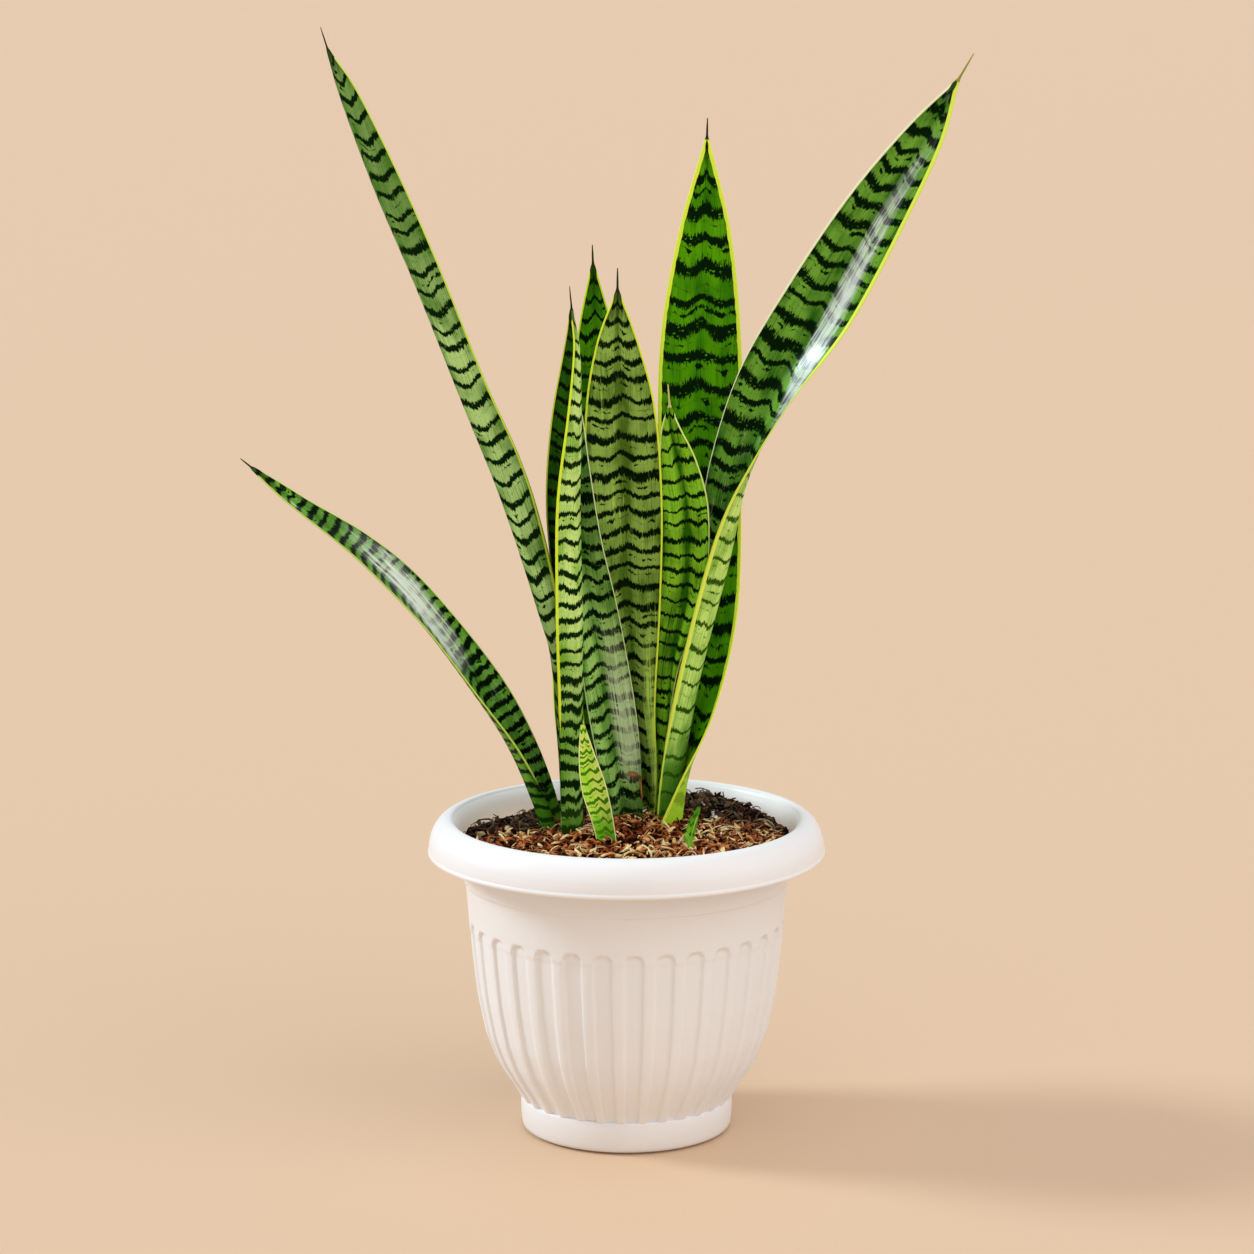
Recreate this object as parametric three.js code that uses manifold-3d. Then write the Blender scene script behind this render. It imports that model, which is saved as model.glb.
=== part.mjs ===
// A snake plant in a fluted white plastic pot filled with chunky potting mix.
// Millimetres, +Z up. The origin is on the resting surface, under the middle of the pot.
// -Y is the front and +X is the right-hand side seen from the front.
import * as THREE from 'three';
import { mergeVertices } from 'three/addons/utils/BufferGeometryUtils.js';
import Module from 'manifold-3d';

const wasm = await Module();
wasm.setup();

// ---- driving dimensions -------------------------------------------------

const RIM_RADIUS = 101.5; // the pot is a 203 mm (8 inch) one across its rim
const RIM_HEIGHT = 163.5;
const RIM_CREST_RADIUS = 91.3; // the round top line of the rim
const SKIRT_HEIGHT = 145.2; // lower edge of the rolled rim
const NECK_RADIUS = 83.1; // smooth band under the rim
const NECK_BOTTOM = 131;
const FOOT_RADIUS = 54.5;
const FOOT_HEIGHT = 17;
const FOOT_RECESS_RADIUS = 45.5; // the pot stands on the ring outside this recess
const FOOT_RECESS_DEPTH = 2.5;
const FOOT_PAD_RADIUS = 14; // and on a low round pad in its middle
const FLOOR_TOP = 6; // inner face of the pot's floor
const WALL = 3.4; // from a ridge between two flutes to the inner face

const FLUTE_COUNT = 32;
const FLUTE_PHASE = 2.8; // degrees, the first flute right of the front
const FLUTE_DEPTH = 1.3;
const FLUTE_TOP = 112; // top of the round arch that ends a flute

const CLEARANCE = 0.35; // between touching pieces
const LEAF_HOLE_CLEARANCE = 0.5; // round a leaf in its hole in the mix
const LEAF_BASE_HEIGHT = 146; // where the leaves are seated on the rhizome
const LEAF_KEEL_THICKNESS = 2.4; // at the base of a leaf, on its middle line
const LEAF_TIP_THICKNESS = 1.5;
const LEAF_EDGE_SHARE = 0.42; // thickness of a margin as a share of the middle line's
const LEAF_ROWS_PER_STATION = 1.7;
const LEAF_ROW_CROWDING = 1.35; // above 1 crowds the rows towards the base

const MIX_LEVEL = 156.5; // potting mix in the open part of the pot
const MIX_RINGS = [74, 60, 46, 32, 16];
const CHIP_COUNT = 26;
const CHIP_SEED = 20241;

const LATHE_SEGMENTS = 40;

const COLOURS = {
  pot: [0xefedea, 0.38],
  mix: [0x5a3523, 0.95],
  rhizome: [0xc9a36a, 0.8],
  leaf: [0x4f7a2c, 0.45],
  youngLeaf: [0x8fb532, 0.45],
};

// Radius of the fluted body's ridges at each height.
const BODY_PROFILE = [
  [15, 53.6], [22, 57.4], [30, 62.6], [39, 67.8], [52, 72.8], [74, 77.2], [105, 80.4],
  [109.5, 80.8], [112, 81], [NECK_BOTTOM + 0.8, 82.5],
];

// Each leaf runs through stations from its seat to the tip of its blade. A station is
//   [x, y, z, half width, facing, fold]
// x, y, z: the keel, the blade's middle line. Half width: keel to margin, measured in the blade.
// Facing: degrees round Z that the inner face looks to, 0 to the front and 90 to the right.
// Fold: degrees that each half of the blade rises from flat towards the inner face.
// After the last station the blade ends in a thin dry spine of the given length.
const LEAVES = {
  leaf_arching_left: {
    spine: 8,
    stations: [
      [-38, 8, 141, 7.5, 82, 56], [-46, 4, 167, 11.5, 79, 48], [-59, -1, 200, 14, 75, 38],
      [-77, -6, 232, 16, 72, 28], [-106, -10, 273, 15.5, 76, 20], [-133, -15, 302, 12, 77, 18],
      [-163, -18, 326, 6.5, 76, 16], [-186, -21, 346, 1, 60, 12],
    ],
  },
  leaf_tall_left: {
    spine: 12,
    stations: [
      [-32, -6, 141, 4.5, 90, 46], [-33, -7, 196, 5, 94, 52], [-37, -10, 246, 8, 94, 55],
      [-43, -11, 270, 11, 100, 54], [-62, -9, 329, 15, 119, 48], [-82, -4, 379, 15.5, 116, 36],
      [-103, -1, 433, 15, 120, 32], [-124, 2, 484, 13, 128, 33], [-141, 5, 529, 8.5, 124, 31],
      [-148, 8, 551, 1, 112, 26],
    ],
  },
  leaf_folded_left: {
    spine: 12,
    stations: [
      [-23, -7, 141, 13, -90, 41], [-23.5, -7, 191, 14.5, -87, 42], [-23, -8, 229, 17, -83, 46],
      [-23, -11, 275, 17.5, -86, 45], [-24, -12, 327, 18, -76, 48], [-23.2, -11, 369, 15, -69, 45],
      [-24, -10, 404, 8.2, -68, 36], [-26.6, -11, 420, 2.4, -70, 30], [-27, -11, 424, 1, -70, 30],
    ],
  },
  leaf_glossy_front: {
    spine: 9,
    stations: [
      [1.5, 22.5, 141, 9, 12, 49], [-4, 17, 179, 13, 14, 41], [-9, 13, 215, 15.5, 12, 39],
      [-17, 10, 264, 15, 12, 38], [-24, 10, 305, 13, -1, 29], [-26.5, 10, 341, 9.5, -12, 20],
      [-25.5, 11, 362, 5, -17, 15], [-25, 12, 377, 1, -19, 12],
    ],
  },
  leaf_dark_back: {
    spine: 11,
    stations: [
      [-3, 38, 141, 8, 5, 44], [-9, 39, 179, 10.5, 5, 35], [-13, 40, 226, 14, 5, 26],
      [-15, 42, 279, 16.5, 5, 21], [-15, 42, 331, 17, 6, 18], [-15, 42, 372, 14.5, 7, 15],
      [-16, 41, 408, 9, 7, 13], [-17, 40, 441, 1, 5, 10],
    ],
  },
  leaf_broad_centre: {
    spine: 12,
    stations: [
      [10, 30.5, 141, 6.5, -18, 46], [9.6, 24, 178, 9.5, -14, 38], [4, 21, 218, 13.5, -9, 29],
      [1, 19, 273, 18, -4, 21], [-1, 18, 324, 20, -2, 16], [-3, 18, 370, 18, 0, 13],
      [-4.5, 19, 403, 11, 0, 12], [-4.5, 20, 430, 1, 0, 10],
    ],
  },
  leaf_wide_back: {
    spine: 11,
    stations: [
      [26.5, 18, 141, 22, -92, 38], [29.5, 23, 175, 22, -62, 35], [35, 31, 217, 21.5, -31, 28],
      [39, 39, 269, 22, -12, 21], [38, 45, 329, 22, -4, 15], [38, 50, 399, 21, 0, 11],
      [40, 53, 456, 13.5, 1, 9], [41, 55, 504, 1, 0, 9],
    ],
  },
  leaf_small_right: {
    spine: 12,
    stations: [
      [18.2, 19, 141, 3.2, -84, 44], [22, 19, 192, 5.5, -66, 40], [24, 19.5, 237, 9.5, -42, 35],
      [31, 21, 278, 13, -22, 28], [31, 21, 316, 13.5, -13, 23], [27, 22, 341, 10.5, -10, 19],
      [23, 22, 359, 5.5, -11, 16], [22, 22, 371, 1, -12, 12],
    ],
  },
  leaf_twisting_right: {
    spine: 16,
    stations: [
      [22.3, 19, 141, 11, -92, 43], [28.3, 19, 184, 13.5, -90, 48], [38, 19, 237, 16, -80, 49],
      [52, 19, 294, 18, -76, 48], [61, 20, 338, 19.5, -57, 39], [77, 19, 384, 20.5, -38, 29],
      [100, 17, 426, 20, -21, 18], [125, 14, 470, 16.5, -16, 14], [149, 10, 509, 10, -17, 12],
      [164, 5, 536, 1, -20, 12],
    ],
  },
  leaf_young_front: {
    spine: 0,
    young: true,
    stations: [
      [-7, -28, 141, 6, -5, 48], [-11, -30, 166, 6.5, -4, 39], [-16, -32, 186, 7, -4, 29],
      [-19.5, -34, 202, 4.5, -5, 22], [-22, -36, 219, 0.8, -5, 15],
    ],
  },
  pup_leaf_outer: {
    spine: 0,
    young: true,
    stations: [
      [31, -30, 141, 2.6, -60, 50], [32.6, -30, 156, 3.2, -60, 46], [34.6, -30, 166.5, 3.1, -60, 40],
      [36.8, -30, 175.4, 0.8, -60, 20],
    ],
  },
  pup_leaf_inner: {
    spine: 0,
    young: true,
    stations: [
      [33, -35.5, 141, 2, 40, 30], [32.6, -36, 152, 2.2, 40, 30], [31.4, -36.3, 158.6, 1.8, 40, 25],
      [29.5, -36.6, 163.6, 0.8, 40, 15],
    ],
  },
};

// The rhizome under the mix: a thick stem with side branches, and roots that run down from it.
// A root goes from [x, y] on the rhizome's axis to [x, y, z] at its end.
const RHIZOME_RADIUS = 8;
const RHIZOME_DEPTH = LEAF_BASE_HEIGHT - CLEARANCE - RHIZOME_RADIUS; // height of its axis
const RHIZOME_BRANCHES = [
  [[-42, 8], [-34, -2], [-20, -4], [-6, 14], [8, 26], [20, 20], [30, 18]],
  [[-6, 14], [-5, 28], [-3, 40]],
  [[-20, -4], [-12, -20], [-6, -30]],
  [[-6, -30], [14, -33], [31, -32]],
];
const ROOTS = [
  [-38, 0, -60, 12, 74], [-10, -24, -30, -42, 60], [-3, 34, -14, 52, 66], [8, 26, 6, 6, 44],
  [28, 18, 56, 34, 70],
];
const ROOT_RADIUS = 2.6;

// ---- small helpers ------------------------------------------------------

function seededRandom(seed) {
  let state = seed;
  return () => {
    state = (state + 0x6d2b79f5) | 0;
    let t = Math.imul(state ^ (state >>> 15), 1 | state);
    t = (t + Math.imul(t ^ (t >>> 7), 61 | t)) ^ t;
    return ((t ^ (t >>> 14)) >>> 0) / 4294967296;
  };
}

function smoothstep(from, to, value) {
  const t = Math.min(Math.max((value - from) / (to - from), 0), 1);
  return t * t * (3 - 2 * t);
}

function lookUp(table, x) {
  const last = table.length - 1;
  if (x <= table[0][0]) return table[0][1];
  if (x >= table[last][0]) return table[last][1];
  const i = table.findIndex((row) => row[0] > x);
  const [x0, y0] = table[i - 1];
  const [x1, y1] = table[i];
  return y0 + ((y1 - y0) * (x - x0)) / (x1 - x0);
}

// A closed body through rings of points that all hold the same number of points.
function skinRings(rings) {
  const count = rings[0].length;
  const positions = rings.flat().flatMap((p) => [p.x, p.y, p.z]);
  const indices = [];
  for (let r = 0; r < rings.length - 1; r += 1) {
    for (let i = 0; i < count; i += 1) {
      const a = r * count + i;
      const b = r * count + ((i + 1) % count);
      indices.push(a, b, b + count, a, b + count, a + count);
    }
  }
  const closeEnd = (ring, offset, forwards) => {
    const middle = new THREE.Vector3();
    ring.forEach((p) => middle.addScaledVector(p, 1 / count));
    const centre = positions.length / 3;
    positions.push(middle.x, middle.y, middle.z);
    for (let i = 0; i < count; i += 1) {
      const a = offset + i;
      const b = offset + ((i + 1) % count);
      indices.push(centre, forwards ? a : b, forwards ? b : a);
    }
  };
  closeEnd(rings[0], 0, false);
  closeEnd(rings[rings.length - 1], (rings.length - 1) * count, true);
  const geometry = new THREE.BufferGeometry();
  geometry.setAttribute('position', new THREE.Float32BufferAttribute(positions, 3));
  geometry.setIndex(indices);
  return geometry;
}

function toSolid(geometry) {
  const bare = geometry.clone();
  bare.deleteAttribute('normal');
  bare.deleteAttribute('uv');
  const welded = mergeVertices(bare, 1e-4);
  const source = welded.index.array;
  const triangles = [];
  for (let i = 0; i < source.length; i += 3) {
    const [a, b, c] = [source[i], source[i + 1], source[i + 2]];
    if (a !== b && b !== c && c !== a) triangles.push(a, b, c);
  }
  return new wasm.Manifold(new wasm.Mesh({
    numProp: 3,
    vertProperties: new Float32Array(welded.attributes.position.array),
    triVerts: new Uint32Array(triangles),
  }));
}

function toGeometry(solid) {
  const mesh = solid.getMesh();
  const geometry = new THREE.BufferGeometry();
  geometry.setAttribute('position', new THREE.Float32BufferAttribute(mesh.vertProperties, 3));
  geometry.setIndex(Array.from(mesh.triVerts));
  return geometry;
}

function largestBody(solid) {
  return solid.decompose().sort((a, b) => b.volume() - a.volume())[0];
}

// A round body from [radius, height] points that start and end on the axis.
function turned(profile) {
  const points = profile.map(([radius, height]) => new THREE.Vector2(radius, height));
  const lathe = new THREE.LatheGeometry(points, LATHE_SEGMENTS);
  return toSolid(lathe.rotateX(Math.PI / 2));
}

function addMesh(group, name, geometry, [colour, roughness]) {
  geometry.computeVertexNormals();
  const material = new THREE.MeshStandardMaterial({ color: colour, roughness, metalness: 0 });
  const mesh = new THREE.Mesh(geometry, material);
  mesh.name = name;
  group.add(mesh);
}

// ---- pot ----------------------------------------------------------------

// Inner face of the pot, from the middle of the floor to the inner edge of the rim.
const CAVITY_PROFILE = [
  [0, FLOOR_TOP], [50, FLOOR_TOP], [51, FOOT_HEIGHT],
  ...[27, 40, 60, 105].map((z) => [lookUp(BODY_PROFILE, z) - WALL, z]),
  [NECK_RADIUS - WALL + 0.6, 136], [85.2, 156], [88.2, 161.6],
];

function cavityRadius(height) {
  return lookUp(CAVITY_PROFILE.slice(1).map(([radius, z]) => [z, radius]), height);
}

// Depth of the flutes below the ridges, at an angle from the front and a height.
function fluteDepth(angle, height) {
  const pitch = 360 / FLUTE_COUNT;
  const turns = (angle - FLUTE_PHASE) / pitch;
  const offset = Math.abs(turns - Math.round(turns));
  const across = 1 - smoothstep(0.22, 0.33, offset);
  const archDrop = 5 * (1 - Math.sqrt(Math.max(0, 1 - (offset / 0.33) ** 2)));
  const along = 1 - smoothstep(FLUTE_TOP - archDrop - 2.4, FLUTE_TOP - archDrop, height);
  return FLUTE_DEPTH * across * along;
}

// Two columns of points in each flute and two on the ridge beside it, in flute pitches.
const FLUTE_COLUMNS = [-0.2, 0.2, 0.35, 0.65];

function flutedBody() {
  const pitch = 360 / FLUTE_COUNT;
  const angles = [];
  for (let flute = 0; flute < FLUTE_COUNT; flute += 1) {
    FLUTE_COLUMNS.forEach((column) => angles.push(FLUTE_PHASE + (flute + column) * pitch));
  }
  const rings = BODY_PROFILE.map(([height, ridgeRadius]) => angles.map((angle) => {
    const radius = ridgeRadius - fluteDepth(angle, height);
    const turn = THREE.MathUtils.degToRad(angle);
    return new THREE.Vector3(radius * Math.sin(turn), -radius * Math.cos(turn), height);
  }));
  return toSolid(skinRings(rings));
}

function potGeometry() {
  const foot = turned([
    [0, 0], [50.3, 0], [53, 1.6], [FOOT_RADIUS, 7], [FOOT_RADIUS, FOOT_HEIGHT],
    [0, FOOT_HEIGHT],
  ]);
  const rim = turned([
    [0, NECK_BOTTOM], [NECK_RADIUS, NECK_BOTTOM], [83.8, 143], [86, 151.5], [90.6, 156.2],
    [96.4, 153.4], [98.9, SKIRT_HEIGHT], [100.8, SKIRT_HEIGHT], [RIM_RADIUS, 147.6],
    [100.9, 151], [98.8, 157.2], [95.6, 161.8], [RIM_CREST_RADIUS, RIM_HEIGHT], [88.6, 162.9],
    [0, 162.9],
  ]);
  const cavity = turned([...CAVITY_PROFILE, [89.4, RIM_HEIGHT], [89.8, 170], [0, 170]]);
  const disc = (radius) => turned([
    [0, -1], [radius, -1], [radius, FOOT_RECESS_DEPTH], [0, FOOT_RECESS_DEPTH],
  ]);
  const recess = disc(FOOT_RECESS_RADIUS).subtract(disc(FOOT_PAD_RADIUS));
  return toGeometry(flutedBody().add(foot).add(rim).subtract(cavity).subtract(recess));
}

// ---- leaves -------------------------------------------------------------

// Smooth values between the stations: the same cubic for place, width, facing and fold.
function stationAt(stations, position) {
  const last = stations.length - 1;
  const index = Math.min(Math.floor(position), last - 1);
  const t = position - index;
  return stations[0].map((_, k) => {
    const at = (i) => {
      if (i < 0) return 2 * stations[0][k] - stations[1][k];
      if (i > last) return 2 * stations[last][k] - stations[last - 1][k];
      return stations[i][k];
    };
    const [p0, p1, p2, p3] = [at(index - 1), at(index), at(index + 1), at(index + 2)];
    return 0.5 * (2 * p1 + (p2 - p0) * t + (2 * p0 - 5 * p1 + 4 * p2 - p3) * t * t
      + (3 * p1 - p0 - 3 * p2 + p3) * t * t * t);
  });
}

// Local axes of a leaf at a station: along it, out of its inner face, and across its blade.
function leafFrame(stations, position) {
  const last = stations.length - 1;
  const step = 0.02;
  const before = stationAt(stations, Math.max(position - step, 0));
  const after = stationAt(stations, Math.min(position + step, last));
  const along = new THREE.Vector3(...after.slice(0, 3)).sub(new THREE.Vector3(...before.slice(0, 3)));
  along.normalize();
  const values = stationAt(stations, position);
  const facing = THREE.MathUtils.degToRad(values[4]);
  const normal = new THREE.Vector3(Math.sin(facing), -Math.cos(facing), 0);
  normal.addScaledVector(along, -normal.dot(along)).normalize();
  const across = new THREE.Vector3().crossVectors(along, normal);
  return { values, along, normal, across };
}

const BLADE_SAMPLES = [-1, -0.7, -0.35, 0, 0.35, 0.7, 1]; // margin, keel, margin
const FOLD_POWER = 1.5; // 1 is a sharp crease at the keel, 2 a round channel

// One section of a blade as a closed ring. Extra makes it bigger all round.
function bladeRing(stations, position, extra) {
  const { values, normal, across } = leafFrame(stations, position);
  const [x, y, z, rawWidth, , fold] = values;
  const halfWidth = Math.max(rawWidth, 0.6);
  const share = position / (stations.length - 1);
  const fullThickness = LEAF_KEEL_THICKNESS + (LEAF_TIP_THICKNESS - LEAF_KEEL_THICKNESS) * share;
  const keelThickness = Math.min(fullThickness, 0.5 + halfWidth * 0.8);
  const reach = halfWidth * Math.cos(THREE.MathUtils.degToRad(fold));
  const rise = halfWidth * Math.sin(THREE.MathUtils.degToRad(fold));
  const point = (s, side) => {
    const slope = (rise * FOLD_POWER * Math.abs(s) ** (FOLD_POWER - 1)) / reach;
    const edgeShare = 1 - (1 - LEAF_EDGE_SHARE) * s * s;
    const half = (Math.max(keelThickness * edgeShare, 0.7) / 2 + extra) * Math.sqrt(1 + slope * slope);
    const lateral = reach * s + Math.sign(s) * extra;
    return new THREE.Vector3(x, y, z)
      .addScaledVector(across, lateral)
      .addScaledVector(normal, rise * Math.abs(s) ** FOLD_POWER + side * half);
  };
  const inner = BLADE_SAMPLES.map((s) => point(s, 1));
  const outer = BLADE_SAMPLES.map((s) => point(s, -1)).reverse();
  return [...outer, ...inner];
}

// The dry spine: the last ring drawn out along the leaf and shrunk to a fine point.
function spineRings(stations, length, extra) {
  const last = stations.length - 1;
  const { values, along } = leafFrame(stations, last);
  const tip = new THREE.Vector3(...values.slice(0, 3));
  const ring = bladeRing(stations, last, extra);
  return [[0.25, 0.6], [1, 0.35]].map(([reach, size]) => ring.map((p) => p.clone()
    .sub(tip)
    .multiplyScalar(size)
    .add(tip)
    .addScaledVector(along, reach * Math.max(length, 1.5))));
}

function leafSolid({ stations, spine }, extra) {
  const last = stations.length - 1;
  const rows = Math.round(stations.length * LEAF_ROWS_PER_STATION);
  const rings = [];
  for (let row = 0; row <= rows; row += 1) {
    rings.push(bladeRing(stations, last * (row / rows) ** LEAF_ROW_CROWDING, extra));
  }
  rings.push(...spineRings(stations, spine, extra));
  const below = new THREE.BoxGeometry(120, 120, 40);
  below.translate(stations[0][0], stations[0][1], LEAF_BASE_HEIGHT - extra - 20);
  return toSolid(skinRings(rings)).subtract(toSolid(below));
}

// ---- rhizome ------------------------------------------------------------

function rhizomeSolid(extra) {
  const radius = RHIZOME_RADIUS + extra;
  const pieces = [];
  RHIZOME_BRANCHES.forEach((route) => {
    const points = route.map(([x, y]) => new THREE.Vector3(x, y, RHIZOME_DEPTH));
    const curve = new THREE.CatmullRomCurve3(points);
    const steps = Math.round(route.length * 1.6);
    const rings = [];
    for (let i = 0; i <= steps; i += 1) {
      const share = i / steps;
      const endTaper = Math.min(1, 0.55 + Math.min(share, 1 - share) * steps * 0.45);
      const centre = curve.getPoint(share);
      const along = curve.getTangent(share).setZ(0).normalize();
      const across = new THREE.Vector3(-along.y, along.x, 0);
      const up = new THREE.Vector3(0, 0, 1);
      const ring = [];
      for (let k = 0; k < 6; k += 1) {
        const turn = ((k + 0.5) * Math.PI) / 3;
        ring.push(centre.clone()
          .addScaledVector(across, radius * endTaper * Math.cos(turn))
          .addScaledVector(up, radius * endTaper * Math.sin(turn)));
      }
      rings.push(ring);
    }
    pieces.push(toSolid(skinRings(rings)));
  });
  ROOTS.forEach(([x, y, endX, endY, endZ]) => {
    const start = new THREE.Vector3(x, y, RHIZOME_DEPTH);
    const end = new THREE.Vector3(endX, endY, endZ);
    const length = start.distanceTo(end) + extra;
    const root = new THREE.CylinderGeometry(ROOT_RADIUS + extra, ROOT_RADIUS / 3 + extra, length, 5);
    root.rotateX(Math.PI / 2);
    root.lookAt(start.clone().sub(end));
    root.translate(...start.clone().add(end).multiplyScalar(0.5).toArray());
    pieces.push(toSolid(root));
  });
  return pieces.reduce((whole, piece) => whole.add(piece));
}

// ---- potting mix --------------------------------------------------------

// Surface of the mix: heaped round the leaves and at the back right, hollow at the back left.
function mixHeight(x, y) {
  const heap = (cx, cy, size, rise) => {
    const away = Math.hypot(x - cx, y - cy) / size;
    return rise * Math.exp(-(away ** 2) / 2);
  };
  const heaps = heap(-6, 20, 26, 4.2) + heap(42, 58, 17, 4.5) + heap(-10, -32, 18, 1);
  const hollow = heap(-58, 46, 24, -5) - 2 * smoothstep(72, 84, Math.hypot(x, y));
  const wide = 0.7 * Math.sin(x * 0.21 + 1) * Math.sin(y * 0.24 + 2);
  const narrow = 0.5 * Math.sin(x * 0.53 - y * 0.41);
  return MIX_LEVEL + heaps + hollow + wide + narrow;
}

function mixBody() {
  const step = (2 * Math.PI) / LATHE_SEGMENTS;
  const angles = Array.from({ length: LATHE_SEGMENTS }, (_, i) => i * step);
  const ringAt = (radius, height) => angles.map((turn) => {
    const x = radius * Math.sin(turn);
    const y = -radius * Math.cos(turn);
    return new THREE.Vector3(x, y, height ?? mixHeight(x, y));
  });
  const wall = CAVITY_PROFILE.filter(([radius, z]) => radius > 0 && z < 145)
    .map(([radius, z]) => ringAt(radius - CLEARANCE, Math.max(z, FLOOR_TOP + CLEARANCE)));
  const top = cavityRadius(MIX_LEVEL - 4) - CLEARANCE - 0.4;
  return toSolid(skinRings([...wall, ringAt(top), ...MIX_RINGS.map((radius) => ringAt(radius))]));
}

// Bark chips lying on the mix, their undersides sunk in it.
function barkChips() {
  const random = seededRandom(CHIP_SEED);
  const chips = [];
  for (let i = 0; i < CHIP_COUNT; i += 1) {
    const radius = 12 + 62 * Math.sqrt(random());
    const turn = random() * 2 * Math.PI;
    const x = radius * Math.cos(turn);
    const y = radius * Math.sin(turn);
    const chip = new THREE.BoxGeometry(7 + 8 * random(), 4 + 4 * random(), 3.2);
    chip.rotateX((random() - 0.5) * 0.7);
    chip.rotateY((random() - 0.5) * 0.7);
    chip.rotateZ(random() * Math.PI);
    chip.translate(x, y, mixHeight(x, y) + 0.2 + 0.8 * random());
    chips.push(toSolid(chip));
  }
  return chips.reduce((whole, chip) => whole.add(chip));
}

function mixGeometry() {
  let mix = mixBody().add(barkChips());
  Object.values(LEAVES).forEach((leaf) => {
    mix = mix.subtract(leafSolid(leaf, LEAF_HOLE_CLEARANCE));
  });
  return toGeometry(largestBody(mix.subtract(rhizomeSolid(CLEARANCE))));
}

// ---- the plant ----------------------------------------------------------

const plant = new THREE.Group();
addMesh(plant, 'pot', potGeometry(), COLOURS.pot);
addMesh(plant, 'potting_mix', mixGeometry(), COLOURS.mix);
addMesh(plant, 'rhizome', toGeometry(rhizomeSolid(0)), COLOURS.rhizome);
Object.entries(LEAVES).forEach(([name, leaf]) => {
  addMesh(plant, name, toGeometry(leafSolid(leaf, 0)), leaf.young ? COLOURS.youngLeaf : COLOURS.leaf);
});

export default plant;
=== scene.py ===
"""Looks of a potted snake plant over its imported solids. Metres, +Z up, -Y to the front."""

import math
import random

import bmesh
import bpy
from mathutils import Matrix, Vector, noise


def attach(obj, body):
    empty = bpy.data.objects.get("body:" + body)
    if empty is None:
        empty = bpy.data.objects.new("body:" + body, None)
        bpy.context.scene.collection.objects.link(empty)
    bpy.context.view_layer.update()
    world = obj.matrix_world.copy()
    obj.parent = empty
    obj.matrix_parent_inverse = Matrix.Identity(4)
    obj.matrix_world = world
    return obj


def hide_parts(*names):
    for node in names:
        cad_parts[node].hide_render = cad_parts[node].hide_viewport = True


MM = 0.001

# ---- sizes, in millimetres, the same as the solids'

FOOT_RADIUS = 54.5
FOOT_HEIGHT = 17
NECK_BOTTOM = 131
FLOOR_TOP = 6
WALL = 3.4
CLEARANCE = 0.35

FLUTE_COUNT = 32
FLUTE_PHASE = 2.8  # degrees, the first flute right of the front
FLUTE_DEPTH = 1.3
RIB_ROUNDING = 0.35
FLUTE_TOP = 112
ARCH_RADIUS = 5
ARCH_SLOPE = 1.7
# Shares of the pitch from a flute's middle: where its side ends and starts, and its arch's reach.
# The last is how far the rounding reaches from the middle of a rib.
FLUTE_FLOOR = 0.25
FLUTE_EDGE = 0.322
ARCH_HALF_WIDTH = 0.325
RIB_HALF_WIDTH = 0.18

LEAF_KEEL_THICKNESS = 2.4
LEAF_TIP_THICKNESS = 1.5
LEAF_EDGE_SHARE = 0.42
SHORTEST_SPINE = 1.5
FOLD_POWER = 1.5

MIX_LEVEL = 156.5
STREWN_REACH = 82

# Radius of the fluted body's ridges at each height.
BODY_PROFILE = [
    (15, 53.6), (22, 57.4), (30, 62.6), (39, 67.8), (52, 72.8), (74, 77.2), (105, 80.4),
    (112, 81), (131.8, 82.5),
]

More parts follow.
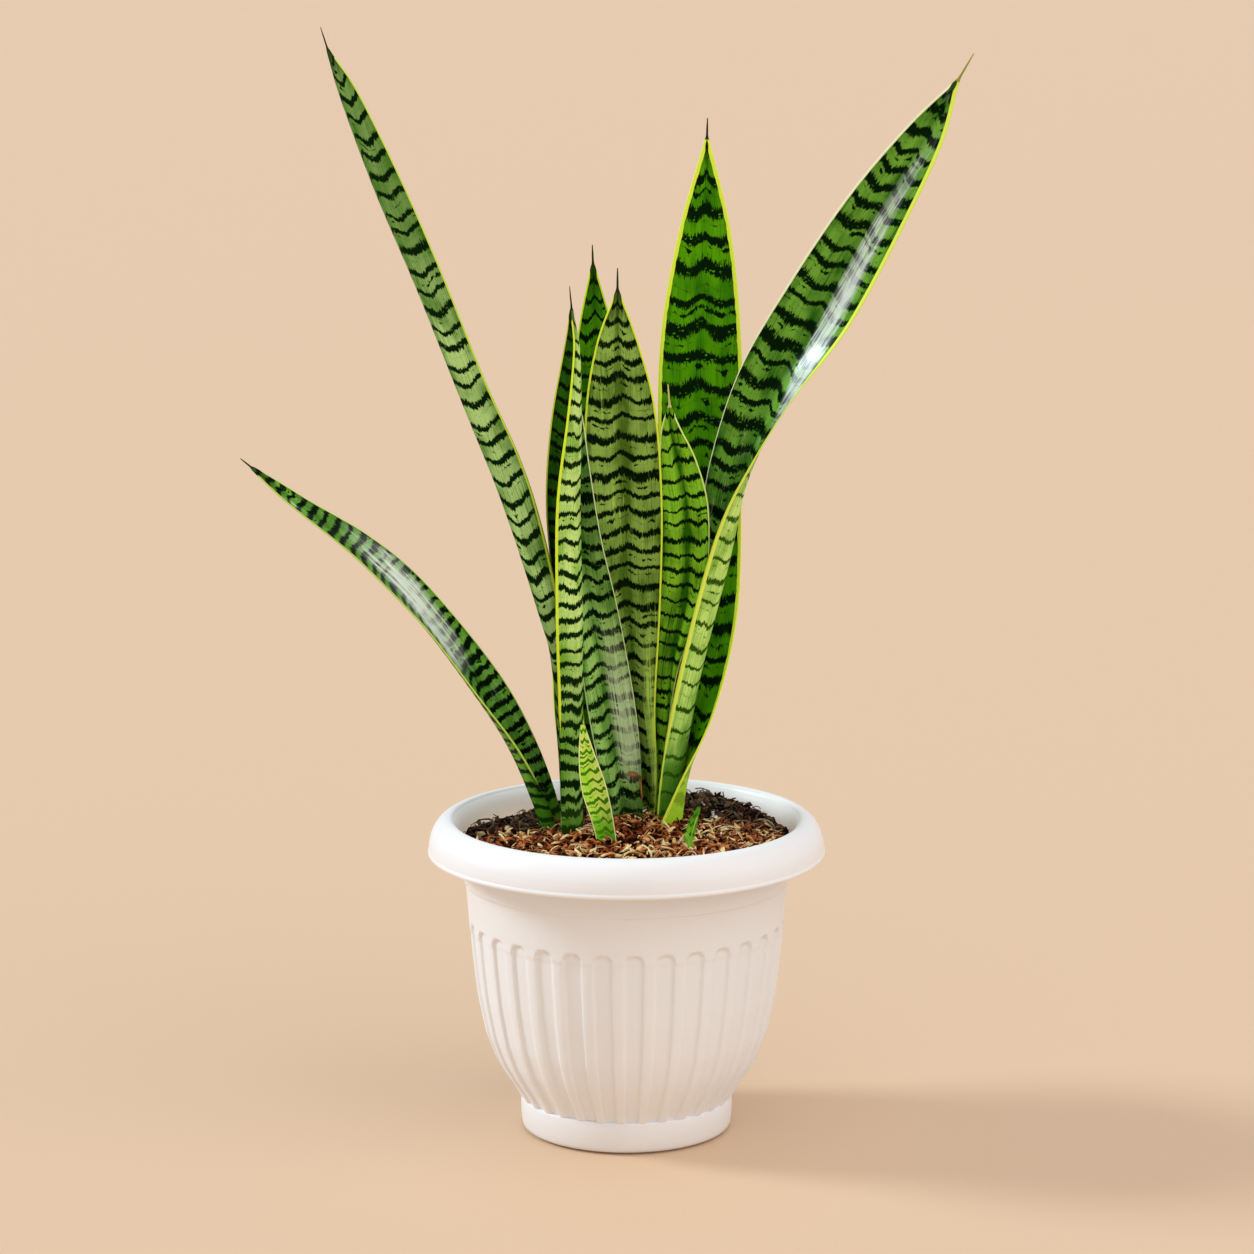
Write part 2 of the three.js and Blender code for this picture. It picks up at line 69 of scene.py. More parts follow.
# Leaf stations: x, y, z of the keel, half width, facing, fold. The last number is the spine.
LEAVES = {
    "leaf_arching_left": ([
        (-38, 8, 141, 7.5, 82, 56), (-46, 4, 167, 11.5, 79, 48), (-59, -1, 200, 14, 75, 38),
        (-77, -6, 232, 16, 72, 28), (-106, -10, 273, 15.5, 76, 20), (-133, -15, 302, 12, 77, 18),
        (-163, -18, 326, 6.5, 76, 16), (-186, -21, 346, 1, 60, 12),
    ], 8),
    "leaf_tall_left": ([
        (-32, -6, 141, 4.5, 90, 46), (-33, -7, 196, 5, 94, 52), (-37, -10, 246, 8, 94, 55),
        (-43, -11, 270, 11, 100, 54), (-62, -9, 329, 15, 119, 48), (-82, -4, 379, 15.5, 116, 36),
        (-103, -1, 433, 15, 120, 32), (-124, 2, 484, 13, 128, 33), (-141, 5, 529, 8.5, 124, 31),
        (-148, 8, 551, 1, 112, 26),
    ], 12),
    "leaf_folded_left": ([
        (-23, -7, 141, 13, -90, 41), (-23.5, -7, 191, 14.5, -87, 42), (-23, -8, 229, 17, -83, 46),
        (-23, -11, 275, 17.5, -86, 45), (-24, -12, 327, 18, -76, 48), (-23.2, -11, 369, 15, -69, 45),
        (-24, -10, 404, 8.2, -68, 36), (-26.6, -11, 420, 2.4, -70, 30), (-27, -11, 424, 1, -70, 30),
    ], 12),
    "leaf_glossy_front": ([
        (1.5, 22.5, 141, 9, 12, 49), (-4, 17, 179, 13, 14, 41), (-9, 13, 215, 15.5, 12, 39),
        (-17, 10, 264, 15, 12, 38), (-24, 10, 305, 13, -1, 29), (-26.5, 10, 341, 9.5, -12, 20),
        (-25.5, 11, 362, 5, -17, 15), (-25, 12, 377, 1, -19, 12),
    ], 9),
    "leaf_dark_back": ([
        (-3, 38, 141, 8, 5, 44), (-9, 39, 179, 10.5, 5, 35), (-13, 40, 226, 14, 5, 26),
        (-15, 42, 279, 16.5, 5, 21), (-15, 42, 331, 17, 6, 18), (-15, 42, 372, 14.5, 7, 15),
        (-16, 41, 408, 9, 7, 13), (-17, 40, 441, 1, 5, 10),
    ], 11),
    "leaf_broad_centre": ([
        (10, 30.5, 141, 6.5, -18, 46), (9.6, 24, 178, 9.5, -14, 38), (4, 21, 218, 13.5, -9, 29),
        (1, 19, 273, 18, -4, 21), (-1, 18, 324, 20, -2, 16), (-3, 18, 370, 18, 0, 13),
        (-4.5, 19, 403, 11, 0, 12), (-4.5, 20, 430, 1, 0, 10),
    ], 12),
    "leaf_wide_back": ([
        (26.5, 18, 141, 22, -92, 38), (29.5, 23, 175, 22, -62, 35), (35, 31, 217, 21.5, -31, 28),
        (39, 39, 269, 22, -12, 21), (38, 45, 329, 22, -4, 15), (38, 50, 399, 21, 0, 11),
        (40, 53, 456, 13.5, 1, 9), (41, 55, 504, 1, 0, 9),
    ], 11),
    "leaf_small_right": ([
        (18.2, 19, 141, 3.2, -84, 44), (22, 19, 192, 5.5, -66, 40), (24, 19.5, 237, 9.5, -42, 35),
        (31, 21, 278, 13, -22, 28), (31, 21, 316, 13.5, -13, 23), (27, 22, 341, 10.5, -10, 19),
        (23, 22, 359, 5.5, -11, 16), (22, 22, 371, 1, -12, 12),
    ], 12),
    "leaf_twisting_right": ([
        (22.3, 19, 141, 11, -92, 43), (28.3, 19, 184, 13.5, -90, 48), (38, 19, 237, 16, -80, 49),
        (52, 19, 294, 18, -76, 48), (61, 20, 338, 19.5, -57, 39), (77, 19, 384, 20.5, -38, 29),
        (100, 17, 426, 20, -21, 18), (125, 14, 470, 16.5, -16, 14), (149, 10, 509, 10, -17, 12),
        (164, 5, 536, 1, -20, 12),
    ], 16),
    "leaf_young_front": ([
        (-7, -28, 141, 6, -5, 48), (-11, -30, 166, 6.5, -4, 39), (-16, -32, 186, 7, -4, 29),
        (-19.5, -34, 202, 4.5, -5, 22), (-22, -36, 219, 0.8, -5, 15),
    ], 0),
    "pup_leaf_outer": ([
        (31, -30, 141, 2.6, -60, 50), (32.6, -30, 156, 3.2, -60, 46), (34.6, -30, 166.5, 3.1, -60, 40),
        (36.8, -30, 175.4, 0.8, -60, 20),
    ], 0),
    "pup_leaf_inner": ([
        (33, -35.5, 141, 2, 40, 30), (32.6, -36, 152, 2.2, 40, 30), (31.4, -36.3, 158.6, 1.8, 40, 25),
        (29.5, -36.6, 163.6, 0.8, 40, 15),
    ], 0),
}


def tone(red, green, blue):
    """A screen colour, 0 to 255, as the linear colour that a shader takes."""
    return tuple(((c / 255 + 0.055) / 1.055) ** 2.4 if c > 10 else c / 3294.6
                 for c in (red, green, blue)) + (1,)


# How each leaf is marked. Inner and outer face: pale ground, deep ground, bands. Margin: colour,
# width on the inner and on the outer face, where it has faded out low down. Bands: millimetres from
# one to the next, thickness, how far they rise at the keel. Keel_shade: painted shade, how dark the
# ground is made along the keel's crease.
# Holes and doubles: how often bands hold pale spots, or have a thin line beside them. Foot, low and
# top: a colour of the ground, and how far up it reaches or starts. Sides: margins wider at the left
# or right by this, above this. Tip: how dark it is. Torn: how ragged the bands are. Low_bands and
# outer_bands: how much thicker they are low down or on the outer face. Plain_foot: how much they
# fade in the foot.
COMMON_STYLE = dict(
    roughness=0.36, tip=0.8, torn=1, low_bands=1, outer_bands=1, plain_foot=0.15, spine=(36, 46, 10))
LEAF_STYLES = {
    "leaf_arching_left": dict(
        inner=((120, 180, 66), (48, 108, 22), (2, 20, 2)),
        outer=((120, 176, 50), (50, 108, 16), (4, 30, 2)), margin=((196, 226, 96), 0.4, -0.1, 40),
        bands=(6.9, 3.2, 0.6), keel=0.4, holes=0.2, doubles=0.3, foot=((62, 122, 14), 40), roughness=0.3,
        seed=11),
    "leaf_tall_left": dict(
        inner=((84, 140, 46), (30, 78, 20), (4, 26, 2)), outer=((184, 222, 134), (74, 124, 38), (4, 32, 2)),
        margin=((206, 230, 70), 0.2, -0.1, 60), bands=(10.2, 3.2, 4.8), keel=0.5, holes=0.2, doubles=0.4,
        foot=((120, 160, 50), 30), seed=23, low_bands=1.5, low=((90, 136, 46), 150),
        top=((62, 116, 26), 270)),
    "leaf_folded_left": dict(
        inner=((50, 110, 12), (18, 64, 4), (2, 20, 1)), outer=((212, 244, 142), (122, 178, 50), (4, 34, 2)),
        margin=((226, 244, 60), 0.1, -0.1, 62), bands=(7.8, 2.7, 3.2), keel=0.35, holes=0.1, doubles=0.15,
        foot=((30, 84, 6), 36), seed=37, sides=(0.5, 0, 20), low_bands=1.5, low=((84, 144, 30), 130)),
    "leaf_glossy_front": dict(
        inner=((168, 214, 112), (74, 130, 36), (3, 28, 4)),
        outer=((140, 184, 76), (70, 120, 30), (6, 34, 4)), margin=((228, 242, 180), 0.25, 0.2, 46),
        bands=(8.8, 3.4, 2.4), keel=0.5, holes=0.35, doubles=0.45, foot=((36, 88, 14), 34), roughness=0.3,
        seed=41, top=((50, 108, 8), 150)),
    "leaf_dark_back": dict(
        inner=((84, 154, 14), (38, 98, 6), (2, 26, 1)), outer=((96, 160, 30), (50, 108, 14), (4, 32, 2)),
        margin=((204, 232, 50), 0.6, 0.5, 40), bands=(9.6, 2.8, 2.6), keel=0.4, holes=0.3, doubles=0.5,
        foot=((90, 140, 30), 30), roughness=0.34, seed=53),
    "leaf_broad_centre": dict(
        inner=((154, 192, 86), (78, 112, 28), (2, 22, 1)),
        outer=((156, 190, 90), (86, 118, 34), (4, 28, 2)), margin=((226, 244, 70), 0.7, 0.6, 46),
        bands=(9.6, 3.2, 3.2), keel=0.75, holes=0.12, doubles=0.65, foot=((120, 166, 36), 32),
        roughness=0.34, seed=67),
    "leaf_wide_back": dict(
        inner=((92, 170, 6), (40, 110, 3), (2, 28, 2)), outer=((134, 196, 48), (70, 134, 18), (14, 50, 6)),
        margin=((230, 252, 76), 1.7, 0.8, 50), bands=(15.2, 5.8, 3.8), keel=0.3, holes=0.95, doubles=0.8,
        foot=((196, 246, 56), 56), roughness=0.34, seed=71, plain_foot=0.6),
    "leaf_small_right": dict(
        inner=((150, 214, 48), (44, 104, 5), (1, 30, 1)), outer=((150, 208, 60), (74, 130, 24), (8, 42, 4)),
        margin=((236, 250, 140), 0.5, 0.4, 150), bands=(8, 2.2, 1.2), keel=0.85, holes=0.1, doubles=0.35,
        foot=((100, 150, 36), 24), seed=83, tip=0.2, spine=(206, 202, 118)),
    "leaf_twisting_right": dict(
        inner=((116, 174, 58), (46, 100, 18), (1, 26, 2)),
        outer=((204, 242, 126), (104, 162, 34), (46, 86, 6)), margin=((226, 246, 92), 0.3, 0.4, 60),
        bands=(11.4, 4.4, 3.6), keel=0.4, holes=0.4, doubles=0.6, foot=((74, 136, 20), 58), roughness=0.24,
        seed=97, sides=(0.5, 1.5, 236), outer_bands=0.5, left_margin=(246, 252, 206), spine=(150, 152, 64)),
    "leaf_young_front": dict(
        inner=((240, 255, 122), (164, 232, 30), (70, 138, 10)),
        outer=((240, 255, 122), (164, 228, 38), (74, 140, 16)), margin=((238, 246, 160), 0.4, 0.4, 0),
        bands=(5.4, 1.7, 1.4), keel=0.1, holes=0.4, doubles=0.7, foot=((110, 198, 20), 38), seed=101,
        tip=0.1, torn=0.4),
    "pup_leaf_outer": dict(
        inner=((176, 234, 66), (104, 180, 30), (52, 122, 12)),
        outer=((186, 240, 76), (116, 190, 36), (60, 130, 14)), margin=((170, 216, 80), 0, 0, 10),
        bands=(5, 1.6, 1), keel=0.3, holes=0, doubles=0.2, foot=((170, 214, 70), 24), seed=113),
    "pup_leaf_inner": dict(
        inner=((176, 222, 80), (130, 190, 50), (110, 170, 40)),
        outer=((186, 228, 92), (140, 196, 60), (120, 176, 50)), margin=((214, 236, 130), 0, 0, 10),
        bands=(5, 1, 1), keel=0.2, holes=0, doubles=0, foot=((200, 226, 100), 22), seed=127),
}

# Paler strips painted into the leaves' colour: painted highlights where a leaf shines, with a real coat
# over them, and on the broad leaf a painted lit strip with no gloss. Along and across at the low end and
# at the high end, half width across at both, how strong, colour and gloss.
# The white of the twisting leaf's painted highlight.
PAINTED_HIGHLIGHT_WHITE = (230, 244, 238)
LEAF_PAINTED_HIGHLIGHTS = {
    "leaf_twisting_right": (222, 22, 420, 4.5, 8, 3, 0.88, PAINTED_HIGHLIGHT_WHITE, 0.8),
    "leaf_glossy_front": (34, 8, 138, 8.6, 8, 8, 0.82, (238, 255, 212), 0.4),
    "leaf_arching_left": (106, -4.5, 220, 5, 11, 8, 1, (236, 246, 234), 0.9),
    "leaf_broad_centre": (24, 7.5, 132, 10.6, 4, 4.6, 1, (216, 255, 116), 0),
}
LEAF_SHINE = 0.03


# ---- small helpers

class Signal:
    """A socket that sums and products can be written with, each of them one more node."""

    def __init__(self, wiring, socket):
        self.wiring = wiring
        self.socket = socket

    def __add__(self, other):
        return self.wiring.math("ADD", self, other)

    def __sub__(self, other):
        return self.wiring.math("SUBTRACT", self, other)

    def __rsub__(self, other):
        return self.wiring.math("SUBTRACT", other, self)

    def __mul__(self, other):
        return self.wiring.math("MULTIPLY", self, other)

    def __truediv__(self, other):
        return self.wiring.math("DIVIDE", self, other)

    def __abs__(self):
        return self.wiring.math("ABSOLUTE", self)


class Wiring:
    """Short calls for wiring one node tree."""

    def __init__(self, tree):
        self.tree = tree

    def join(self, value, socket):
        if isinstance(value, Signal):
            self.tree.links.new(value.socket, socket)
        else:
            socket.default_value = value

    def node(self, kind, inputs=None, **settings):
        made = self.tree.nodes.new(kind)
        for name, value in settings.items():
            setattr(made, name, value)
        for key, value in (inputs or {}).items():
            self.join(value, made.inputs[key])
        return made

    def get(self, kind, inputs=None, output=0, **settings):
        """One output of a new node."""
        return Signal(self, self.node(kind, inputs, **settings).outputs[output])

    def parts(self, kind, inputs):
        """Every output of a new node."""
        return [Signal(self, socket) for socket in self.node(kind, inputs).outputs]

    def math(self, operation, a, b=0):
        return self.get("ShaderNodeMath", {0: a, 1: b}, operation=operation)

    def step(self, value, low, high):
        """0 below low and 1 above high, smooth between. Low above high turns it round."""
        return self.get("ShaderNodeMapRange", {0: value, 1: low, 2: high}, interpolation_type="SMOOTHSTEP")

    def mix(self, share, first, second):
        """Two colours mixed. A plain one is a screen colour, 0 to 255."""
        first, second = [tone(*c) if isinstance(c, tuple) else c for c in (first, second)]
        return self.get("ShaderNodeMix", {0: share, 6: first, 7: second}, 2, data_type="RGBA")

    def vector(self, x, y, z=0):
        return self.get("ShaderNodeCombineXYZ", {0: x, 1: y, 2: z})

    def split(self, vector):
        return self.parts("ShaderNodeSeparateXYZ", {0: vector})

    def noise(self, vector, scale, detail=2, roughness=0.5):
        return self.get("ShaderNodeTexNoise", {
            "Vector": vector, "Scale": scale, "Detail": detail, "Roughness": roughness})


class Paint(Wiring):
    """A material, with the wiring of its shader."""

    def __init__(self, name, roughness, shine=0.5):
        self.material = bpy.data.materials.new(name)
        self.material.use_nodes = True
        super().__init__(self.material.node_tree)
        self.set("Roughness", roughness)
        self.set("Specular IOR Level", shine)

    def set(self, name, value):
        self.join(value, self.tree.nodes["Principled BSDF"].inputs[name])

    def bump(self, height, strength, distance):
        """Fine relief, its distance in millimetres."""
        self.set("Normal", self.get("ShaderNodeBump", {
            "Height": height, "Strength": strength, "Distance": distance * MM}))

    def place(self):
        return self.get("ShaderNodeTexCoord", output="Object")

    def read(self, name, output="Fac"):
        """What the mesh says of each of its points or bits."""
        return self.get("ShaderNodeAttribute", output=output, attribute_name=name)


class Shaping(Wiring):
    """A node tree that shapes a piece. Its inputs have names and kinds."""

    def __init__(self, name, inputs):
        super().__init__(bpy.data.node_groups.new(name, "GeometryNodeTree"))
        for label, kind in {"Geometry": "Geometry", **inputs}.items():
            self.tree.interface.new_socket(label, in_out="INPUT", socket_type="NodeSocket" + kind)
        self.tree.interface.new_socket("Geometry", in_out="OUTPUT", socket_type="NodeSocketGeometry")
        self.given = {socket.name: Signal(self, socket) for socket in self.node("NodeGroupInput").outputs}

    def finish(self, geometry, material):
        """Sends out plain geometry with its material."""
        whole = self.get("GeometryNodeRealizeInstances", {0: geometry})
        painted = self.get("GeometryNodeSetMaterial", {"Geometry": whole, "Material": material})
        self.join(painted, self.node("NodeGroupOutput").inputs[0])
        return self.tree


def new_piece(name, points, faces):
    """A mesh object with its place in its mesh. Points are in millimetres."""
    mesh = bpy.data.meshes.new(name)
    mesh.from_pydata([(x * MM, y * MM, z * MM) for x, y, z in points], [], faces)
    mesh.polygons.foreach_set("use_smooth", [True] * len(mesh.polygons))
    mesh.update()
    piece = bpy.data.objects.new(name, mesh)
    bpy.context.scene.collection.objects.link(piece)
    return piece


def skin_faces(rings, count):
    """Faces of a tube of rings, with a fan over each end. The two middles follow the rings."""
    sides = [(i, (i + 1) % count) for i in range(count)]
    last = (rings - 1) * count
    faces = [(k + i, k + j, k + j + count, k + i + count) for k in range(0, last, count) for i, j in sides]
    for i, j in sides:
        faces += [(last + count, j, i), (last + count + 1, last + i, last + j)]
    return faces


def skin_rings(name, rings):
    """A closed piece through rings of as many points each."""
    points = [p for ring in rings for p in ring]
    for ring in (rings[0], rings[-1]):
        points.append([sum(p[k] for p in ring) / len(ring) for k in range(3)])
    return new_piece(name, points, skin_faces(len(rings), len(rings[0])))


def look_up(table, x):
    if x <= table[0][0]:
        return table[0][1]
    for (x0, y0), (x1, y1) in zip(table, table[1:]):
        if x <= x1:
            return y0 + (y1 - y0) * (x - x0) / (x1 - x0)
    return table[-1][1]


def cubic(values, position):
    """Smooth values between rows of numbers, running straight on past both ends."""
    last = len(values) - 1
    index = min(int(position), last - 1)
    t = position - index

    def at(i):
        if i < 0:
            return [2 * a - b for a, b in zip(values[0], values[1])]
        if i > last:
            return [2 * a - b for a, b in zip(values[last], values[last - 1])]
        return values[i]

    return [0.5 * (2 * p1 + (p2 - p0) * t + (2 * p0 - 5 * p1 + 4 * p2 - p3) * t * t
                   + (3 * p1 - p0 - 3 * p2 + p3) * t * t * t)
            for p0, p1, p2, p3 in zip(at(index - 1), at(index), at(index + 1), at(index + 2))]


def smooth_line(points, steps):
    """Points of a smooth line through the given ones."""
    count = (len(points) - 1) * steps
    return [tuple(cubic(points, i / steps)) for i in range(count)] + [tuple(points[-1])]


def smoothstep(low, high, value):
    t = min(max((value - low) / (high - low), 0), 1)
    return t * t * (3 - 2 * t)


def shape_with(piece, tree, values):
    """Turns what a shaping tree makes of a piece, with its inputs' values, into its plain mesh."""
    modifier = piece.modifiers.new("shaping", "NODES")
    modifier.node_group = tree
    sockets = {item.name: item.identifier for item in tree.interface.items_tree
               if item.item_type == "SOCKET" and item.in_out == "INPUT"}
    for name, value in values.items():
        modifier[sockets[name]] = value
    graph = bpy.context.evaluated_depsgraph_get()
    mesh = bpy.data.meshes.new_from_object(piece.evaluated_get(graph))
    piece.modifiers.clear()
    piece.data = mesh


# ---- pot

# Columns of points round one flute, in flute pitches: closer where the channel's sides are.
FLUTE_COLUMNS = (-0.43, -0.36, -0.325, -0.3, -0.27, -0.235, -0.15, 0,
                 0.15, 0.235, 0.27, 0.3, 0.325, 0.36, 0.43)


def body_radius(height):
    """Radius of the body's ridges, on a smooth line through its profile."""
    for i, ((low, _), (high, _)) in enumerate(zip(BODY_PROFILE, BODY_PROFILE[1:])):
        if height <= high:
            return cubic(BODY_PROFILE, i + max(0, height - low) / (high - low))[1]
    return BODY_PROFILE[-1][1]


def pot_profile():
    """The pot's cut from the middle of its underside round to the middle of its floor.

    Each row is radius, height and 1 where the flutes are pressed into it.
    """
    underside = [
        (0.01, 0), (13.6, 0), (14, 0.4), (14, 2.1), (14.4, 2.5), (45.1, 2.5), (45.5, 2.1),
        (45.5, 0.4), (45.9, 0), (49.2, 0), (49.8, 0.8), (52.4, 1.1), (53.4, 1.7), (53.9, 3),
        (54.2, 5.4), (54.4, 8), (FOOT_RADIUS, 11), (FOOT_RADIUS, 16.2), (54.3, 16.8),
        (54.1, FOOT_HEIGHT),
    ]
    heights = [17.05, 17.3, 17.8, 19] + [22 + 3.4 * i for i in range(24)]
    heights += [104 + 0.6 * i for i in range(18)] + [117, 121, 125, 128.5, 130.4]
    body = [(body_radius(z), z) for z in heights]
    neck = [(82.6, 130.9), (82.9, NECK_BOTTOM), (83.15, 131.15), (83.25, 131.7), (83.5, 137)]
    lip = smooth_line([
        (83.8, 143), (84.6, 148.2), (86.6, 152.6), (90.6, 155.6), (94.8, 154.6), (97.6, 150.6),
        (98.8, 146.2), (99.2, 145.3),
    ], 4)
    bead = smooth_line([
        (100.1, 145), (101, 145.3), (101.5, 146.1), (101.4, 147), (101.1, 147.6),
        (101.05, 148.4),
    ], 3)
    crest = smooth_line([
        (100.9, 150.6), (100.2, 154), (98.8, 157.4), (96.6, 160.6), (93.9, 162.7), (91.3, 163.5),
        (89.4, 163.3), (88.2, 162.2), (87.4, 160.4), (86.3, 157.6), (84.9, 152.5), (82.9, 145),
        (80.3, 136),
    ], 4)
    wall = [(look_up(BODY_PROFILE, z) - WALL, z) for z in (105, 80, 60, 40, 27)]
    floor = [(51, FOOT_HEIGHT), (50, FLOOR_TOP), (0.01, FLOOR_TOP)]
    parts = [(underside, 0), (body, 1), (neck + lip + bead + crest + wall + floor, 0)]
    return [(r, z, flag) for rows, flag in parts for r, z in rows]


def flute_tree():
    """Nodes that press the flutes into a turned wall."""
    tree = Shaping("flutes", {
        "Flute count": "Float", "First flute": "Float", "Depth": "Float", "Rounding": "Float",
        "Arch top": "Float", "Arch radius": "Float", "Plastic": "Material"})
    given = tree.given
    x, y, z = tree.split(tree.get("GeometryNodeInputPosition"))
    turn = tree.math("ARCTAN2", x, y * -1)
    flutes = (turn - given["First flute"]) / math.tau * given["Flute count"]
    offset = abs(flutes - tree.math("ROUND", flutes))
    across = tree.step(offset, FLUTE_EDGE, FLUTE_FLOOR)
    share = tree.math("MINIMUM", offset / ARCH_HALF_WIDTH, 1)
    drop = (1 - tree.math("SQRT", 1 - share * share)) * given["Arch radius"]
    along = tree.step(z - (given["Arch top"] - drop), 0, -ARCH_SLOPE * MM)
    mask = tree.get("GeometryNodeInputNamedAttribute", {0: "fluted"}, data_type="FLOAT")
    rib = (0.5 - offset) / RIB_HALF_WIDTH
    rib = tree.math("MINIMUM", rib * rib, 1)
    press = (rib * given["Rounding"] + across * given["Depth"]) * along * (mask * -1)
    outward = tree.get("ShaderNodeVectorMath", {0: tree.vector(x, y)}, operation="NORMALIZE")
    move = tree.get("ShaderNodeVectorMath", {0: outward, "Scale": press}, operation="SCALE")
    pressed = tree.get("GeometryNodeSetPosition", {"Geometry": given["Geometry"], "Offset": move})
    return tree.finish(pressed, given["Plastic"])


def make_pot(plastic, inside):
    profile = pot_profile()
    pitch = math.tau / FLUTE_COUNT
    phase = math.radians(FLUTE_PHASE)
    angles = [phase + (flute + column) * pitch for flute in range(FLUTE_COUNT) for column in FLUTE_COLUMNS]
    rings = [[(r * math.sin(a), -r * math.cos(a), z) for a in angles] for r, z, _ in profile]
    pot = skin_rings("pot_fluted", rings)
    marks = [flag for _, _, flag in profile for _ in angles] + [0, 0]
    pot.data.attributes.new("fluted", "FLOAT", "POINT").data.foreach_set("value", marks)
    shape_with(pot, flute_tree(), {
        "Flute count": float(FLUTE_COUNT), "First flute": phase, "Depth": FLUTE_DEPTH * MM,
        "Rounding": RIB_ROUNDING * MM, "Arch top": FLUTE_TOP * MM, "Arch radius": ARCH_RADIUS * MM,
        "Plastic": plastic})
    pot.data.materials.append(inside)
    for face in pot.data.polygons:
        inward = -(face.normal.x * face.center.x + face.normal.y * face.center.y)
        if face.center.z > NECK_BOTTOM * MM and inward > 0.75 * math.hypot(*face.center[:2]):
            face.material_index = 1
    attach(pot, "root")
    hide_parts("pot")


def pot_plastic(name, through, reach):
    """The white plastic. Through and reach: how much light comes through it, from how far in mm."""
    paint = Paint(name, 0.36, 0.45)
    place = paint.place()
    colour = paint.mix(paint.noise(place, 14, 3), (238, 237, 238), (245, 245, 246))
    # Darker and warmer over the lowest 20 mm of the pot.
    darker_low = paint.step(paint.split(place)[2], 20 * MM, 2 * MM) * 0.25
    paint.set("Base Color", paint.mix(darker_low, colour, (222, 214, 204)))
    paint.set("Roughness", paint.noise(place, 60, 4) * 0.14 + 0.29)
    paint.bump(paint.noise(place, 900), 0.08, 0.2)
    paint.set("Subsurface Weight", through)
    paint.set("Subsurface Radius", (1, 1, 1))
    paint.set("Subsurface Scale", reach * MM)
    return paint.material


# ---- leaves

# Samples from margin to margin. The last ones at each side keep the edge crisp.
BLADE_SAMPLES = (-1, -0.97, -0.9, -0.8, -0.68, -0.56, -0.44, -0.33, -0.22, -0.12, -0.05, 0,
                 0.05, 0.12, 0.22, 0.33, 0.44, 0.56, 0.68, 0.8, 0.9, 0.97, 1)
LEAF_ROW_STEP = 2.2  # millimetres along a leaf
KEEL_SAMPLES = 400


def leaf_frame(stations, position):
    """Values, direction along the leaf, out of its inner face and across it."""
    last = len(stations) - 1
    before = Vector(cubic(stations, max(position - 0.02, 0))[:3])
    after = Vector(cubic(stations, min(position + 0.02, last))[:3])
    along = (after - before).normalized()
    values = cubic(stations, position)
    facing = math.radians(values[4])
    normal = Vector((math.sin(facing), -math.cos(facing), 0))
    normal = (normal - along * normal.dot(along)).normalized()
    return values, along, normal, along.cross(normal)


def blade_ring(stations, position, seed):
    """One section of a blade: points with their across, margin distance and side."""
    values, _, normal, across = leaf_frame(stations, position)
    x, y, z, width, _, fold = values
    half_width = max(width, 0.6)
    share = position / (len(stations) - 1)
    thickness = LEAF_KEEL_THICKNESS + (LEAF_TIP_THICKNESS - LEAF_KEEL_THICKNESS) * share
    thickness = min(thickness, 0.5 + half_width * 0.8)
    reach = half_width * math.cos(math.radians(fold))
    rise = half_width * math.sin(math.radians(fold))
    wave = noise.noise(Vector((z * 0.02, seed, 0))) * 0.02 * half_width

    def point(s, side, out=0):
        slope = rise * FOLD_POWER * math.sqrt(abs(s)) / reach
        edge_share = 1 - (1 - LEAF_EDGE_SHARE) * s * s
        half = max(thickness * edge_share, 0.7) / 2 * math.sqrt(1 + slope * slope)
        ripple = wave * math.copysign(abs(s), s) * abs(s)
        lift = rise * abs(s) ** FOLD_POWER + side * half + ripple
        place = Vector((x, y, z)) + across * (reach * s + out) + normal * lift
        return place, half_width * s, half_width * (1 - abs(s)), 1 if side > 0 else 0

    outer = [point(s, -1) for s in reversed(BLADE_SAMPLES)]
    inner = [point(s, 1) for s in BLADE_SAMPLES]
    rims = [(place, aside, -0.4, side)
            for place, aside, _, side in (point(-1, 0, -0.25), point(1, 0, 0.25))]
    return outer + rims[:1] + inner + rims[1:]


def spine_rings(ring, tip, along, length):
    """The dry spine at a leaf's tip: its last ring drawn out to a fine point."""
    rings = []
    for reach, size in ((0.1, 0.62), (0.22, 0.46), (0.6, 0.38), (1, 0.2)):
        shift = along * (reach * max(length, SHORTEST_SPINE))
        rings.append([(tip + (place - tip) * size + shift, 0, 0.3, side)
                      for place, _, _, side in ring])
    return rings


def keel_line(name):
    """Fine points along a leaf's keel, and how far up the leaf each lies."""
    stations = LEAVES[name][0]
    last = len(stations) - 1
    fine = [Vector(cubic(stations, last * i / KEEL_SAMPLES)[:3]) for i in range(KEEL_SAMPLES + 1)]
    runs = [0]
    for a, b in zip(fine, fine[1:]):
        runs.append(runs[-1] + (b - a).length)
    return fine, runs


def make_leaf(name, material):
    stations, spine = LEAVES[name]
    seed = LEAF_STYLES[name]["seed"]
    last = len(stations) - 1
    fine, runs = keel_line(name)
    ways = [(run, i / KEEL_SAMPLES) for i, run in enumerate(runs)]
    rows = round(runs[-1] / LEAF_ROW_STEP)
    heights = [runs[-1] * row / rows for row in range(rows + 1)]
    rings = [blade_ring(stations, look_up(ways, height) * last, seed) for height in heights]
    _, along, _, _ = leaf_frame(stations, last)
    for ring in spine_rings(rings[-1], fine[-1], along, spine):
        rings.append(ring)
        heights.append(heights[-1] + max(spine, SHORTEST_SPINE) / 4)
    leaf = skin_rings(name + "_blade", [[p[0] for p in ring] for ring in rings])
    marks = [mark for ring, height in zip(rings, heights)
             for _, across, edge, _ in ring for mark in (across, height, edge)]
    marks += [0, heights[0], 1, 0, heights[-1], 1]
    sides = [side for ring in rings for _, _, _, side in ring] + [1, 1]
    leaf.data.attributes.new("blade", "FLOAT_VECTOR", "POINT").data.foreach_set("vector", marks)
    leaf.data.attributes.new("inside", "FLOAT", "POINT").data.foreach_set("value", sides)
    leaf.data.materials.append(material)
    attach(leaf, "root")
    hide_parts(name)


